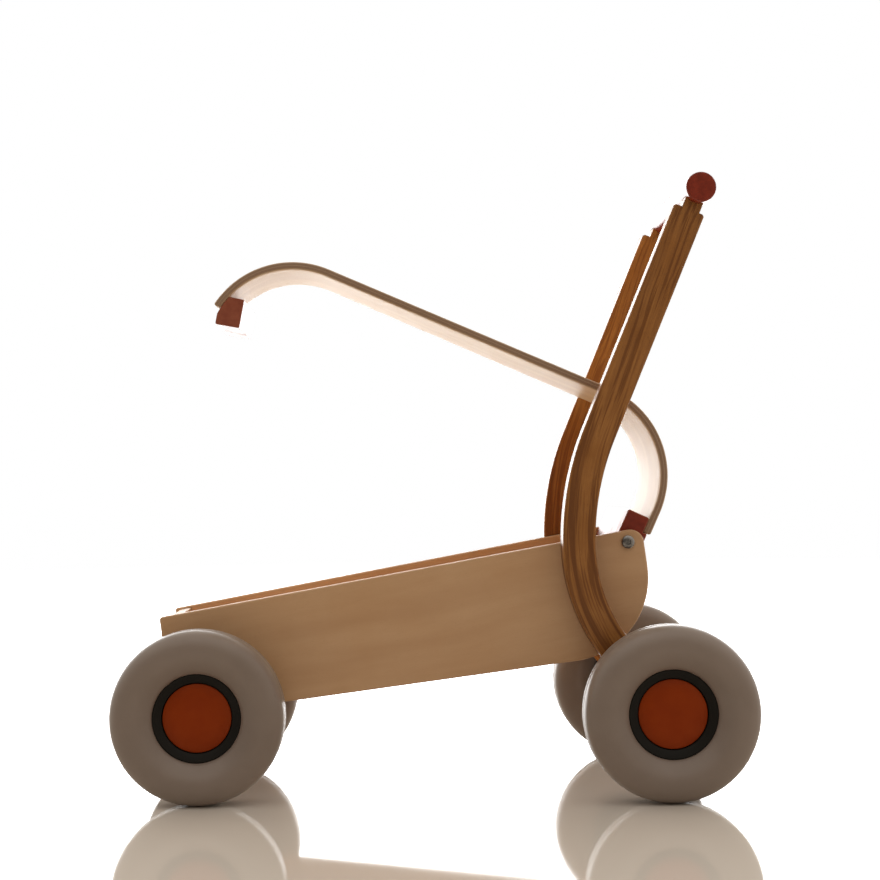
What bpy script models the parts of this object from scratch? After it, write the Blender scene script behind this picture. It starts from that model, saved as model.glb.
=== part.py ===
"""Baby push walker: a splayed plywood box on wheels, bentwood uprights with a push bar, and a hinged bow.

Metres, +Z up. The child stands at +X and pushes towards -X, so -Y is the walker's left side.
The origin is on the floor, midway between the two axles.
"""

import math

import bmesh
import bpy
from mathutils import Matrix, Vector

# Clearance between pieces that touch, and the easing of sawn edges
GAP = 0.0003
EASE = 0.0015

# Smoothness of round stretches
FACET_SAG = 0.0002
WHEEL_SEGMENTS = 32
HUB_SEGMENTS = 24
PIN_SEGMENTS = 12
SCREW_SEGMENTS = 8
SIDEWALL_STEPS = 3
SHOULDER_STEPS = 4
SHARP_ANGLE = math.radians(40.0)
MERGE = 0.000001

# Running gear
WHEEL_RADIUS = 0.0765
AXLE_SPACING = 0.412
FRONT_TRACK = 0.208
REAR_TRACK = 0.270
AXLE_RADIUS = 0.004
AXLE_BORE = 0.0042
AXLE_END = 0.0062
TYRE_WIDTH = 0.050
TREAD_FLAT = 0.012
TYRE_BEAD_WIDTH = 0.030
TYRE_SHOULDER_RADIUS = 0.058
TYRE_SQUARENESS = 2.4
RIM_RADIUS = 0.0385
CAP_RADIUS = 0.030
POCKET_RADIUS = 0.0308
HUB_TUBE_RADIUS = 0.013
HUB_TUBE_END = -0.0235
BUSH_RADIUS = 0.007
BUSH_FLANGE_RADIUS = 0.011
BUSH_FLANGE = 0.0014
SPACER_RADIUS = 0.010
SPACER_FACES = (-0.0287, -0.0256)
RING_DISH = 0.004
POCKET_FLOOR = 0.002
CORE_WEB = -0.005
MOULD_DRAFT = 0.001
BUSH_OUTER_END = 0.0018
CAP_FACE = 0.0128
CAP_DOME = 0.0033
CAP_EDGE = 0.0019
CAP_WALL = 0.002
CAP_SKIRT_INSET = 0.0015
CAP_SKIRT_END = 0.003
AXLE_CAP_RADIUS = 0.0068
AXLE_CAP_FOOT = 0.0026
AXLE_CAP_CROWN = 0.0022

# Box side panels, in the sheet's own frame: along and down from the front top corner
PANEL_CORNER = (-0.245, 0.1606)
TOP_SLOPE = math.radians(9.8)
PANEL_LENGTH = 0.442
PANEL_FRONT_HEIGHT = 0.091
PANEL_REAR_HEIGHT = 0.1103
PANEL_THICKNESS = 0.010
FRONT_CORNER_RADIUS = 0.0025
REAR_ARC_RADIUS = 0.075
REAR_CORNER_RADIUS = 0.012
PIVOT_INSET = (0.015, 0.0105)
FRONT_HALF_WIDTH = 0.062
PIVOT_HALF_WIDTH = 0.086

# Boards housed between the panels
HOUSING_DEPTH = 0.004
TONGUE_REBATE = 0.002
FLOOR_RAISE = 0.022
FLOOR_THICKNESS = 0.006
FRONT_BOARD = (0.0055, 0.0155)
REAR_BOARD = (0.3935, 0.4035)
FRONT_BOARD_DROP = 0.002
REAR_BOARD_DROP = 0.013
BEAM_WIDTH = 0.036
BEAM_DROP = 0.012
BEAM_HALF_LENGTH = 0.075
BEAM_CORNER_RADIUS = 0.004

# Bentwood uprights: a centre line from the rear axle up to the shoulder under the push bar
UPRIGHT_WIDTH = 0.029
UPRIGHT_FACES = (0.082, 0.106)
UPRIGHT_START = math.radians(129.2)
UPRIGHT_FOOT_RUN = 0.062
UPRIGHT_LOWER_BEND = (0.155, math.radians(-39.2))
UPRIGHT_UPPER_BEND = (0.253, math.radians(-22.9))
UPRIGHT_TOP_RUN = 0.2146
TENON_WIDTH = 0.0168
TENON_OFFSET = 0.0012
TENON_LENGTH = 0.0245
HANDLE_RISE = 0.0205
HANDLE_RADIUS = 0.0135
HANDLE_HALF_LENGTH = 0.116
HANDLE_SEGMENTS = 24

# Bow: a bent strip between a pivot bar and a front bar, placed from the pivot axis
STRIP_THICKNESS = 0.0068
STRIP_FRONT_HALF_WIDTH = 0.060
STRIP_REAR_HALF_WIDTH = 0.073
STRIP_BEND_RADIUS = 0.082
STRIP_START = (0.0194, 0.0066)
STRIP_HEADING = math.radians(65.0)
STRIP_TAIL = 0.022
STRIP_REAR_BEND = math.radians(91.2)
STRIP_RUN = 0.2776
STRIP_FRONT_BEND = math.radians(79.8)
PIVOT_BAR_FRONT = 0.0095
PIVOT_BAR_TOP = 0.028
PIVOT_BAR_FOOT_RADIUS = 0.009
PIVOT_BAR_LEDGE = 0.004
LEDGE_CORNER_RADIUS = 0.0004
FRONT_BAR_CORNER = (-0.3693, 0.2031)
FRONT_BAR_TILT = math.radians(-11.0)
FRONT_BAR_SIZE = (0.0222, 0.0264)
BAR_EDGE_RADIUS = 0.0015

# Fasteners
BOLT_RADIUS = 0.003
BOLT_LENGTH = 0.038
BOLT_HEAD_RADIUS = 0.0058
BOLT_HEAD_HEIGHT = 0.0032
BOLT_STANDOFF = 0.0007
BOLT_BORE = 0.0034
PIVOT_WASHER_RADIUS = 0.008
PIVOT_WASHER_FACES = (0.0733, 0.0751)
SCREW_HEAD_RADIUS = 0.004
SCREW_SHANK_RADIUS = 0.002
SCREW_HEAD_DEPTH = 0.0022
SCREW_SINK = 0.0004
UPRIGHT_SCREW_TURNS = (math.radians(4.0), math.radians(20.0))
UPRIGHT_SCREW_LENGTH = 0.025
BEAM_SCREW_SPREAD = 0.060
BEAM_SCREW_LENGTH = 0.016
BOW_SCREW_LENGTH = 0.018
BOW_SCREW_REAR_SPREAD = 0.080
BOW_SCREW_FRONT_SPREAD = 0.070
BOW_SCREW_REAR_HEIGHT = 0.021
BOW_SCREW_FRONT_TURN = math.radians(6.0)

SIDES = {"left": -1, "right": 1}
ENDS = {"front": (-AXLE_SPACING / 2, FRONT_TRACK / 2), "rear": (AXLE_SPACING / 2, REAR_TRACK / 2)}


def direction(angle):
    """Unit vector in the side view, counted from +X towards +Z."""
    return Vector((math.cos(angle), math.sin(angle)))


def on_panel(along, down):
    """Side-view place of a point on the panel's sheet."""
    return Vector(PANEL_CORNER) + along * direction(TOP_SLOPE) + down * direction(TOP_SLOPE - math.pi / 2)


PANEL_SPREAD = (PANEL_REAR_HEIGHT - PANEL_FRONT_HEIGHT) / PANEL_LENGTH


def bottom_edge(along, raised=0.0):
    """Side-view place of a point raised above the panel's lower edge."""
    return on_panel(along, PANEL_FRONT_HEIGHT + along * PANEL_SPREAD - raised)


def square_end(along):
    """Lower corner of a panel's end, cut square to the lower edge from a point of the top edge."""
    height = (PANEL_FRONT_HEIGHT + along * PANEL_SPREAD) / (1 + PANEL_SPREAD**2)
    return bottom_edge(along - height * PANEL_SPREAD)


PIVOT = on_panel(PANEL_LENGTH - PIVOT_INSET[0], PIVOT_INSET[1])
REAR_AXLE = Vector((AXLE_SPACING / 2, WHEEL_RADIUS))
FRONT_AXLE = Vector((-AXLE_SPACING / 2, WHEEL_RADIUS))
AXLE_ALONG = (FRONT_AXLE - Vector(PANEL_CORNER)).dot(direction(TOP_SLOPE))
SPLAY = (PIVOT_HALF_WIDTH - FRONT_HALF_WIDTH) / (PIVOT.x - PANEL_CORNER[0])


def half_width(x):
    """Outer half-width of the splayed box at a given X."""
    return FRONT_HALF_WIDTH + SPLAY * (x - PANEL_CORNER[0])


def splayed(side, inset):
    """Y of a face that follows the box's splay, inset from the panel's outer face."""
    return lambda x: side * (half_width(x) - inset)


def flat(y):
    """Y of a face square to the axles."""
    return lambda x: y


def principled(name, colour, roughness, metallic=0.0):
    """A plain material for one family of pieces."""
    material = bpy.data.materials.new(name)
    material.use_nodes = True
    shader = material.node_tree.nodes["Principled BSDF"]
    shader.inputs["Base Color"].default_value = (*colour, 1.0)
    shader.inputs["Roughness"].default_value = roughness
    shader.inputs["Metallic"].default_value = metallic
    return material


def bend_steps(radius, turn):
    """Facets that keep a bend within FACET_SAG of its true curve."""
    return max(2, math.ceil(abs(turn) / math.sqrt(8 * FACET_SAG / radius)))


def rounded(corners):
    """Closed side outline through corners (x, z, radius), each turned with an arc of its radius."""
    outline = []
    count = len(corners)
    for index, (x, z, radius) in enumerate(corners):
        corner = Vector((x, z))
        before = (Vector(corners[index - 1][:2]) - corner).normalized()
        after = (Vector(corners[(index + 1) % count][:2]) - corner).normalized()
        half_angle = before.angle(after) / 2
        centre = corner + (before + after).normalized() * radius / math.sin(half_angle)
        first = corner + before * radius / math.tan(half_angle) - centre
        sweep = first.angle_signed(corner + after * radius / math.tan(half_angle) - centre)
        steps = bend_steps(radius, sweep)
        for step in range(steps + 1):
            outline.append(centre + Matrix.Rotation(-sweep * step / steps, 2) @ first)
    return outline


def centre_line(start, heading, moves):
    """Stations (place, heading) along straight runs (length, 0) and bends (radius, turn)."""
    place = Vector(start)
    stations = [(place, heading)]
    for size, turn in moves:
        if turn == 0:
            place = place + size * direction(heading)
            stations.append((place, heading))
            continue
        radius = math.copysign(size, turn)
        centre = place + radius * direction(heading + math.pi / 2)
        steps = bend_steps(size, turn)
        for _ in range(steps):
            heading += turn / steps
            place = centre - radius * direction(heading + math.pi / 2)
            stations.append((place, heading))
    return stations


def arc(centre, radius, start, end):
    """Points on an arc in the side view."""
    steps = bend_steps(radius, end - start)
    step = (end - start) / steps
    return [centre + radius * direction(start + step * count) for count in range(steps + 1)]


def eased(solid, width):
    """Faces turned out and every sharp edge taken off."""
    bmesh.ops.recalc_face_normals(solid, faces=solid.faces)
    sharp = [edge for edge in solid.edges if edge.calc_face_angle() > SHARP_ANGLE]
    bmesh.ops.bevel(solid, geom=sharp, offset=width, segments=1, affect="EDGES")
    return solid


def prism(outline, low, high):
    """Solid between two faces whose Y follows X, extruded from a side outline."""
    solid = bmesh.new()
    face = solid.faces.new([solid.verts.new((x, low(x), z)) for x, z in outline])
    grown = bmesh.ops.extrude_face_region(solid, geom=[face])["geom"]
    for vert in grown:
        if isinstance(vert, bmesh.types.BMVert):
            vert.co.y = high(vert.co.x)
    bmesh.ops.recalc_face_normals(solid, faces=solid.faces)
    return solid


def turned(profile, segments=PIN_SEGMENTS):
    """Solid of revolution about +Y from a profile of (radius, y), closed or ending on the axis."""
    solid = bmesh.new()
    verts = [solid.verts.new((radius, y, 0.0)) for radius, y in profile]
    edges = [solid.edges.new(pair) for pair in zip(verts, verts[1:])]
    if profile[0][0] > 0:
        edges.append(solid.edges.new((verts[-1], verts[0])))
    whole_turn = {"axis": (0, 1, 0), "cent": (0, 0, 0), "angle": math.tau, "use_merge": True}
    bmesh.ops.spin(solid, geom=verts + edges, steps=segments, **whole_turn)
    bmesh.ops.remove_doubles(solid, verts=solid.verts, dist=MERGE)
    bmesh.ops.recalc_face_normals(solid, faces=solid.faces)
    return solid


def rod(radius, low, high, segments=PIN_SEGMENTS):
    """Plain round bar along Y."""
    return turned([(0, low), (radius, low), (radius, high), (0, high)], segments)


def tube(bore, radius, low, high, segments=PIN_SEGMENTS):
    """Plain sleeve along Y."""
    return turned([(bore, low), (radius, low), (radius, high), (bore, high)], segments)


def lofted_strip(stations, half_widths, thickness):
    """Bent strip: a rectangle carried along a side centre line, with its own half-width at each station."""
    solid = bmesh.new()
    rings = []
    for (place, heading), half in zip(stations, half_widths):
        offset = thickness / 2 * direction(heading + math.pi / 2)
        top, bottom = place + offset, place - offset
        corners = [(top, -half), (top, half), (bottom, half), (bottom, -half)]
        rings.append([solid.verts.new((point.x, y, point.y)) for point, y in corners])
    for ring, following in zip(rings, rings[1:]):
        for index in range(4):
            solid.faces.new((ring[index - 1], ring[index], following[index], following[index - 1]))
    solid.faces.new(rings[0])
    solid.faces.new(rings[-1])
    return solid


def empty(name, location=(0, 0, 0), turn=0.0):
    """An axis or a frame that pieces are placed from."""
    holder = bpy.data.objects.new(name, None)
    holder.location = location
    holder.rotation_euler.z = turn
    bpy.context.scene.collection.objects.link(holder)
    return holder


def add_piece(name, solid, material, parent, location=(0, 0, 0), rotation=(0, 0, 0)):
    """One sub-part as a named object."""
    mesh = bpy.data.meshes.new(name)
    solid.to_mesh(mesh)
    solid.free()
    mesh.materials.append(material)
    mesh.shade_smooth()
    mesh.set_sharp_from_angle(angle=SHARP_ANGLE)
    piece = bpy.data.objects.new(name, mesh)
    piece.parent = parent
    piece.location = location
    piece.rotation_euler = rotation
    bpy.context.scene.collection.objects.link(piece)
    return piece


def cut(piece, solid, location=(0, 0, 0), rotation=(0, 0, 0)):
    """Takes a hidden solid out of a piece, both placed from the same parent."""
    cutter = add_piece(f"cut_{piece.name}", solid, piece.data.materials[0], piece.parent, location, rotation)
    cutter.hide_render = True
    cutter.display_type = "WIRE"
    boolean = piece.modifiers.new("cut", "BOOLEAN")
    boolean.operation = "DIFFERENCE"
    boolean.solver = "EXACT"
    boolean.object = cutter


def screw_solid(length):
    """Countersunk screw along -Y, its head's top at the origin."""
    return turned(
        [
            (0, 0),
            (SCREW_HEAD_RADIUS, 0),
            (SCREW_HEAD_RADIUS, -SCREW_SINK),
            (SCREW_SHANK_RADIUS, -SCREW_HEAD_DEPTH),
            (SCREW_SHANK_RADIUS, SCREW_SHANK_RADIUS - length),
            (0, -length),
        ],
        SCREW_SEGMENTS,
    )


def screw_hole(length):
    """Clearance for such a screw, open above its head."""
    return turned(
        [
            (0, SCREW_HEAD_DEPTH),
            (SCREW_HEAD_RADIUS + GAP, SCREW_HEAD_DEPTH),
            (SCREW_HEAD_RADIUS + GAP, -SCREW_SINK - GAP),
            (SCREW_SHANK_RADIUS + GAP, -SCREW_HEAD_DEPTH - GAP),
            (SCREW_SHANK_RADIUS + GAP, -length - GAP),
            (0, -length - GAP),
        ],
        SCREW_SEGMENTS,
    )


def add_screw(name, length, place, outward, material, parent, pieces):
    """A screw with its clearance in every piece that it passes through, its head facing outward."""
    rotation = Vector(outward).to_track_quat("Y", "Z").to_euler()
    place = Vector(place) - SCREW_SINK * Vector(outward)
    for piece in pieces:
        cut(piece, screw_hole(length), place, rotation)
    add_piece(name, screw_solid(length), material, parent, place, rotation)


def widened(span, margin):
    """A span grown by a margin at both ends."""
    return span[0] - margin, span[1] + margin


FRONT_TONGUE = FRONT_BOARD[0] + TONGUE_REBATE, FRONT_BOARD[1]
REAR_TONGUE = REAR_BOARD[0], REAR_BOARD[1] - TONGUE_REBATE
FLOOR_ALONG = FRONT_BOARD[1] + GAP, REAR_BOARD[0] - GAP
FLOOR_HEIGHTS = FLOOR_RAISE, FLOOR_RAISE + FLOOR_THICKNESS
FLOOR_TONGUE = FLOOR_RAISE, FLOOR_RAISE + FLOOR_THICKNESS - TONGUE_REBATE


def board_outline(along, drop, raised):
    """Side outline of an upright board, between a drop from the top edge and a height off the lower."""
    front, back = along
    top = [on_panel(front, drop), on_panel(back, drop)]
    return top + [bottom_edge(back, raised), bottom_edge(front, raised)]


def floor_outline(along, heights):
    """Side outline of the floor board, between two heights above the panels' lower edge."""
    front, back = along
    low, high = heights
    lower = [bottom_edge(front, low), bottom_edge(back, low)]
    return lower + [bottom_edge(back, high), bottom_edge(front, high)]


def add_panels(materials, parent):
    """The two side panels with housings for the boards, a seat for the axle beam and the pivot bore."""
    outline = rounded(
        [
            (*on_panel(0, 0), FRONT_CORNER_RADIUS),
            (*on_panel(PANEL_LENGTH, 0), REAR_CORNER_RADIUS),
            (*square_end(PANEL_LENGTH), REAR_ARC_RADIUS),
            (*square_end(0), FRONT_CORNER_RADIUS),
        ]
    )
    beam_back = AXLE_ALONG + BEAM_WIDTH / 2 + GAP
    seat = [
        bottom_edge(-BEAM_WIDTH, FLOOR_RAISE),
        bottom_edge(beam_back, FLOOR_RAISE),
        bottom_edge(beam_back, -BEAM_WIDTH),
        bottom_edge(-BEAM_WIDTH, -BEAM_WIDTH),
    ]
    housings = [
        floor_outline(widened(FLOOR_ALONG, GAP), widened(FLOOR_TONGUE, GAP)),
        board_outline(widened(FRONT_TONGUE, GAP), FRONT_BOARD_DROP - GAP, FLOOR_RAISE - GAP),
        board_outline(widened(REAR_TONGUE, GAP), REAR_BOARD_DROP - GAP, FLOOR_RAISE - GAP),
    ]
    panels = {}
    for name, side in SIDES.items():
        solid = eased(prism(outline, splayed(side, PANEL_THICKNESS), splayed(side, 0)), EASE)
        panel = add_piece(f"side_panel_{name}", solid, materials["ply"], parent)
        inside = splayed(side, PANEL_THICKNESS * 2)
        for housing in housings:
            cut(panel, prism(housing, inside, splayed(side, PANEL_THICKNESS - HOUSING_DEPTH - GAP)))
        cut(panel, prism(seat, inside, splayed(side, -PANEL_THICKNESS)))
        pivot_bore = rod(BOLT_BORE, -PANEL_THICKNESS * 2, PANEL_THICKNESS * 2)
        cut(panel, pivot_bore, (PIVOT.x, side * half_width(PIVOT.x), PIVOT.y))
        panels[name] = panel
    return panels


def add_boards(materials, parent):
    """Floor, front and rear boards, rebated to tongues at their ends, and the beam for the front axle."""
    inset = PANEL_THICKNESS - HOUSING_DEPTH + GAP
    clear = PANEL_THICKNESS
    floor_waste = FLOOR_TONGUE[1], FLOOR_TONGUE[1] + clear
    front_waste = FRONT_TONGUE[0] - clear, FRONT_TONGUE[0]
    rear_waste = REAR_TONGUE[1], REAR_TONGUE[1] + clear
    outlines = {
        "floor_board": (
            floor_outline(FLOOR_ALONG, FLOOR_HEIGHTS),
            floor_outline(widened(FLOOR_ALONG, clear), floor_waste),
        ),
        "front_board": (
            board_outline(FRONT_BOARD, FRONT_BOARD_DROP, FLOOR_RAISE),
            board_outline(front_waste, FRONT_BOARD_DROP - clear, FLOOR_RAISE - clear),
        ),
        "rear_board": (
            board_outline(REAR_BOARD, REAR_BOARD_DROP, FLOOR_RAISE),
            board_outline(rear_waste, REAR_BOARD_DROP - clear, FLOOR_RAISE - clear),
        ),
    }
    boards = {}
    for name, (outline, waste) in outlines.items():
        solid = eased(prism(outline, splayed(-1, inset), splayed(1, inset)), EASE / 2)
        boards[name] = add_piece(name, solid, materials["ply"], parent)
        for side in SIDES.values():
            cut(boards[name], prism(waste, splayed(side, PANEL_THICKNESS + GAP), splayed(side, 0)))
    front, back = AXLE_ALONG - BEAM_WIDTH / 2, AXLE_ALONG + BEAM_WIDTH / 2
    outline = rounded(
        [
            (*bottom_edge(front, FLOOR_RAISE - GAP), EASE),
            (*bottom_edge(back, FLOOR_RAISE - GAP), EASE),
            (*bottom_edge(back, -BEAM_DROP), BEAM_CORNER_RADIUS),
            (*bottom_edge(front, -BEAM_DROP), BEAM_CORNER_RADIUS),
        ]
    )
    solid = eased(prism(outline, flat(-BEAM_HALF_LENGTH), flat(BEAM_HALF_LENGTH)), EASE)
    beam = add_piece("front_axle_beam", solid, materials["beech"], parent)
    reach = BEAM_HALF_LENGTH * 2
    cut(beam, rod(AXLE_RADIUS + GAP, -reach, reach), (FRONT_AXLE.x, 0, FRONT_AXLE.y))
    up = (bottom_edge(0, 1) - bottom_edge(0, 0)).normalized()
    head = bottom_edge(AXLE_ALONG, FLOOR_RAISE + FLOOR_THICKNESS)
    for name, side in SIDES.items():
        add_screw(
            f"beam_screw_{name}",
            BEAM_SCREW_LENGTH,
            (head.x, side * BEAM_SCREW_SPREAD / 2, head.y),
            (up.x, 0, up.y),
            materials["steel"],
            parent,
            [boards["floor_board"], beam],
        )


def upright_stations():
    """Centre line of an upright, from the rear axle to the shoulder under the push bar."""
    moves = [(UPRIGHT_FOOT_RUN, 0), UPRIGHT_LOWER_BEND, UPRIGHT_UPPER_BEND, (UPRIGHT_TOP_RUN, 0)]
    return centre_line(REAR_AXLE, UPRIGHT_START, moves)


def tenon_foot():
    """Middle of the tenon on the shoulder, a little behind the upright's own middle, and its heading."""
    shoulder, heading = upright_stations()[-1]
    return shoulder + TENON_OFFSET * direction(heading - math.pi / 2), heading


def tenon_outline(grow=0.0):
    """Side outline of the tenon that rises from the shoulder into the push bar."""
    foot, heading = tenon_foot()
    across = (TENON_WIDTH / 2 + grow) * direction(heading - math.pi / 2)
    tip = foot + (TENON_LENGTH + grow) * direction(heading)
    return [foot + across, tip + across, tip - across, foot - across]


def add_uprights(materials, parent, panels):
    """Bentwood uprights, planed to the panels' splay, with a tenon for the bar and a rear axle bore."""
    stations = upright_stations()
    half = UPRIGHT_WIDTH / 2
    back = [place + half * direction(heading - math.pi / 2) for place, heading in stations]
    front = [place + half * direction(heading + math.pi / 2) for place, heading in reversed(stations)]
    foot = arc(REAR_AXLE, half, UPRIGHT_START + math.pi / 2, UPRIGHT_START + math.pi * 3 / 2)
    outline = back + tenon_outline() + front + foot[1:-1]
    bend_radius = UPRIGHT_LOWER_BEND[0]
    bend_end = centre_line(REAR_AXLE, UPRIGHT_START, [(UPRIGHT_FOOT_RUN, 0), UPRIGHT_LOWER_BEND])[-1][0]
    bend_centre = bend_end + Vector((bend_radius, 0))
    seat = [
        on_panel(PANEL_LENGTH / 2, -GAP),
        on_panel(PANEL_LENGTH * 1.5, -GAP),
        on_panel(PANEL_LENGTH * 1.5, PANEL_LENGTH),
        on_panel(PANEL_LENGTH / 2, PANEL_LENGTH),
    ]
    for name, side in SIDES.items():
        low, high = (side * face for face in UPRIGHT_FACES)
        solid = eased(prism(outline, flat(low), flat(high)), EASE)
        upright = add_piece(f"upright_{name}", solid, materials["bentwood"], parent)
        cut(upright, prism(seat, flat(0), splayed(side, -GAP)))
        cut(upright, rod(AXLE_RADIUS + GAP, -AXLE_SPACING, AXLE_SPACING), (REAR_AXLE.x, 0, REAR_AXLE.y))
        for number, turn in enumerate(UPRIGHT_SCREW_TURNS, 1):
            place = bend_centre + bend_radius * direction(math.pi + turn)
            inner_face = side * (half_width(place.x) - PANEL_THICKNESS)
            add_screw(
                f"upright_screw_{name}_{number}",
                UPRIGHT_SCREW_LENGTH,
                (place.x, inner_face, place.y),
                (0, -side, 0),
                materials["steel"],
                parent,
                [panels[name], upright],
            )


def add_handle(materials, parent):
    """Round push bar with a mortise over each upright's tenon."""
    foot, heading = tenon_foot()
    centre = foot + HANDLE_RISE * direction(heading)
    end, rim = HANDLE_HALF_LENGTH, HANDLE_HALF_LENGTH - EASE
    waist = HANDLE_RADIUS - EASE
    profile = [(0, -end), (waist, -end), (HANDLE_RADIUS, -rim), (HANDLE_RADIUS, rim), (waist, end), (0, end)]
    bar = add_piece(
        "handle_bar", turned(profile, HANDLE_SEGMENTS), materials["red"], parent, (centre.x, 0, centre.y)
    )
    for side in SIDES.values():
        low, high = UPRIGHT_FACES[0] - GAP, UPRIGHT_FACES[1] + GAP
        mortise = prism(tenon_outline(GAP), flat(side * low), flat(side * high))
        cut(bar, mortise)


def add_bow(materials, parent):
    """Bent strip on the pivot bar's ledge and in the front bar's notch, all placed from the pivot axis."""
    rear_moves = [(STRIP_TAIL, 0), (STRIP_BEND_RADIUS, STRIP_REAR_BEND), (STRIP_RUN, 0)]
    bend_start, bend_heading = centre_line(STRIP_START, STRIP_HEADING, rear_moves)[-1]
    front_centre = bend_start + STRIP_BEND_RADIUS * direction(bend_heading + math.pi / 2)
    stations = centre_line(STRIP_START, STRIP_HEADING, rear_moves + [(STRIP_BEND_RADIUS, STRIP_FRONT_BEND)])
    reach = [0.0]
    for (place, _), (following, _) in zip(stations, stations[1:]):
        reach.append(reach[-1] + (following - place).length)
    narrowing = (STRIP_REAR_HALF_WIDTH - STRIP_FRONT_HALF_WIDTH) / reach[-1]
    half_widths = [STRIP_REAR_HALF_WIDTH - narrowing * distance for distance in reach]
    solid = eased(lofted_strip(stations, half_widths, STRIP_THICKNESS), EASE)
    strip = add_piece("bow_strip", solid, materials["strip"], parent)

    up = direction(STRIP_HEADING)
    out = direction(STRIP_HEADING - math.pi / 2)
    strip_middle = Vector(STRIP_START).dot(out)
    back = strip_middle - STRIP_THICKNESS / 2 - GAP
    ledge = Vector(STRIP_START).dot(up) - GAP
    ledge_back = back + PIVOT_BAR_LEDGE
    outline = rounded(
        [
            (*(PIVOT_BAR_TOP * up - PIVOT_BAR_FRONT * out), BAR_EDGE_RADIUS),
            (*(PIVOT_BAR_TOP * up + back * out), BAR_EDGE_RADIUS),
            (*(ledge * up + back * out), LEDGE_CORNER_RADIUS),
            (*(ledge * up + ledge_back * out), BAR_EDGE_RADIUS),
            (*(-PIVOT_BAR_FRONT * up + ledge_back * out), PIVOT_BAR_FOOT_RADIUS),
            (*(-PIVOT_BAR_FRONT * up - PIVOT_BAR_FRONT * out), PIVOT_BAR_FOOT_RADIUS),
        ]
    )
    ends = flat(-STRIP_REAR_HALF_WIDTH), flat(STRIP_REAR_HALF_WIDTH)
    pivot_bar = add_piece("bow_pivot_bar", eased(prism(outline, *ends), EASE / 2), materials["red"], parent)

    corner = Vector(FRONT_BAR_CORNER)
    across = FRONT_BAR_SIZE[0] * direction(FRONT_BAR_TILT)
    rise = FRONT_BAR_SIZE[1] * direction(FRONT_BAR_TILT + math.pi / 2)
    places = [corner, corner + across, corner + across + rise, corner + rise]
    outline = rounded([(*place, BAR_EDGE_RADIUS) for place in places])
    ends = flat(-STRIP_FRONT_HALF_WIDTH), flat(STRIP_FRONT_HALF_WIDTH)
    front_bar = add_piece("bow_front_bar", eased(prism(outline, *ends), EASE / 2), materials["red"], parent)
    tip = stations[-1][1] - math.pi / 2
    inner = STRIP_BEND_RADIUS - STRIP_THICKNESS / 2 - GAP
    span = tip - STRIP_FRONT_BEND / 2, tip + STRIP_FRONT_BEND / 2
    seat = arc(front_centre, inner, *span) + arc(front_centre, STRIP_BEND_RADIUS * 2, *reversed(span))
    cut(front_bar, prism(seat, flat(-STRIP_REAR_HALF_WIDTH), flat(STRIP_REAR_HALF_WIDTH)))

    rear_head = BOW_SCREW_REAR_HEIGHT * up + (strip_middle + STRIP_THICKNESS / 2) * out
    front_out = direction(tip - BOW_SCREW_FRONT_TURN)
    front_head = front_centre + (STRIP_BEND_RADIUS + STRIP_THICKNESS / 2) * front_out
    heads = {
        "rear": (rear_head, out, BOW_SCREW_REAR_SPREAD, pivot_bar),
        "front": (front_head, front_out, BOW_SCREW_FRONT_SPREAD, front_bar),
    }
    for end, (head, outward, spread, bar) in heads.items():
        for name, side in SIDES.items():
            add_screw(
                f"bow_screw_{end}_{name}",
                BOW_SCREW_LENGTH,
                (head.x, side * spread / 2, head.y),
                (outward.x, 0, outward.y),
                materials["steel"],
                parent,
                [strip, bar],
            )
    add_pivots(materials, parent, pivot_bar)


def add_pivots(materials, parent, pivot_bar):
    """Shouldered bolts that carry the bow in the panels, with a friction washer inside each panel."""
    head = BOLT_HEAD_HEIGHT
    profile = [
        (0, head),
        (BOLT_HEAD_RADIUS * 0.6, head * 0.9),
        (BOLT_HEAD_RADIUS, head * 0.4),
        (BOLT_HEAD_RADIUS, 0),
        (BOLT_RADIUS, 0),
        (BOLT_RADIUS, -BOLT_LENGTH),
        (0, -BOLT_LENGTH),
    ]
    for name, side in SIDES.items():
        place = (0, side * (PIVOT_HALF_WIDTH + BOLT_STANDOFF), 0)
        turn = (0, 0, 0) if side > 0 else (0, 0, math.pi)
        add_piece(f"pivot_bolt_{name}", turned(profile), materials["steel"], parent, place, turn)
        cut(pivot_bar, rod(BOLT_BORE, -BOLT_LENGTH - GAP, 0), place, turn)
        washer = tube(BOLT_BORE, PIVOT_WASHER_RADIUS, *PIVOT_WASHER_FACES)
        add_piece(f"pivot_washer_{name}", washer, materials["nylon"], parent, (0, 0, 0), turn)


def tyre_profile():
    """Closed section of a balloon tyre: bead, bulging sidewall and rounded shoulder on each side."""
    seat = RIM_RADIUS + GAP
    bead, widest, tread = TYRE_BEAD_WIDTH / 2, TYRE_WIDTH / 2, TREAD_FLAT / 2
    quarter = math.pi / 2
    half = []
    for step in range(SIDEWALL_STEPS):
        share = step / SIDEWALL_STEPS
        radius = seat + (TYRE_SHOULDER_RADIUS - seat) * share
        half.append((radius, bead + (widest - bead) * math.sin(share * quarter)))
    for step in range(SHOULDER_STEPS + 1):
        angle = quarter * step / SHOULDER_STEPS
        rise = math.sin(angle) ** (2 / TYRE_SQUARENESS)
        inward = abs(math.cos(angle)) ** (2 / TYRE_SQUARENESS)
        radius = TYRE_SHOULDER_RADIUS + (WHEEL_RADIUS - TYRE_SHOULDER_RADIUS) * rise
        half.append((radius, tread + (widest - tread) * inward))
    return half + [(radius, -y) for radius, y in reversed(half)]


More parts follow.
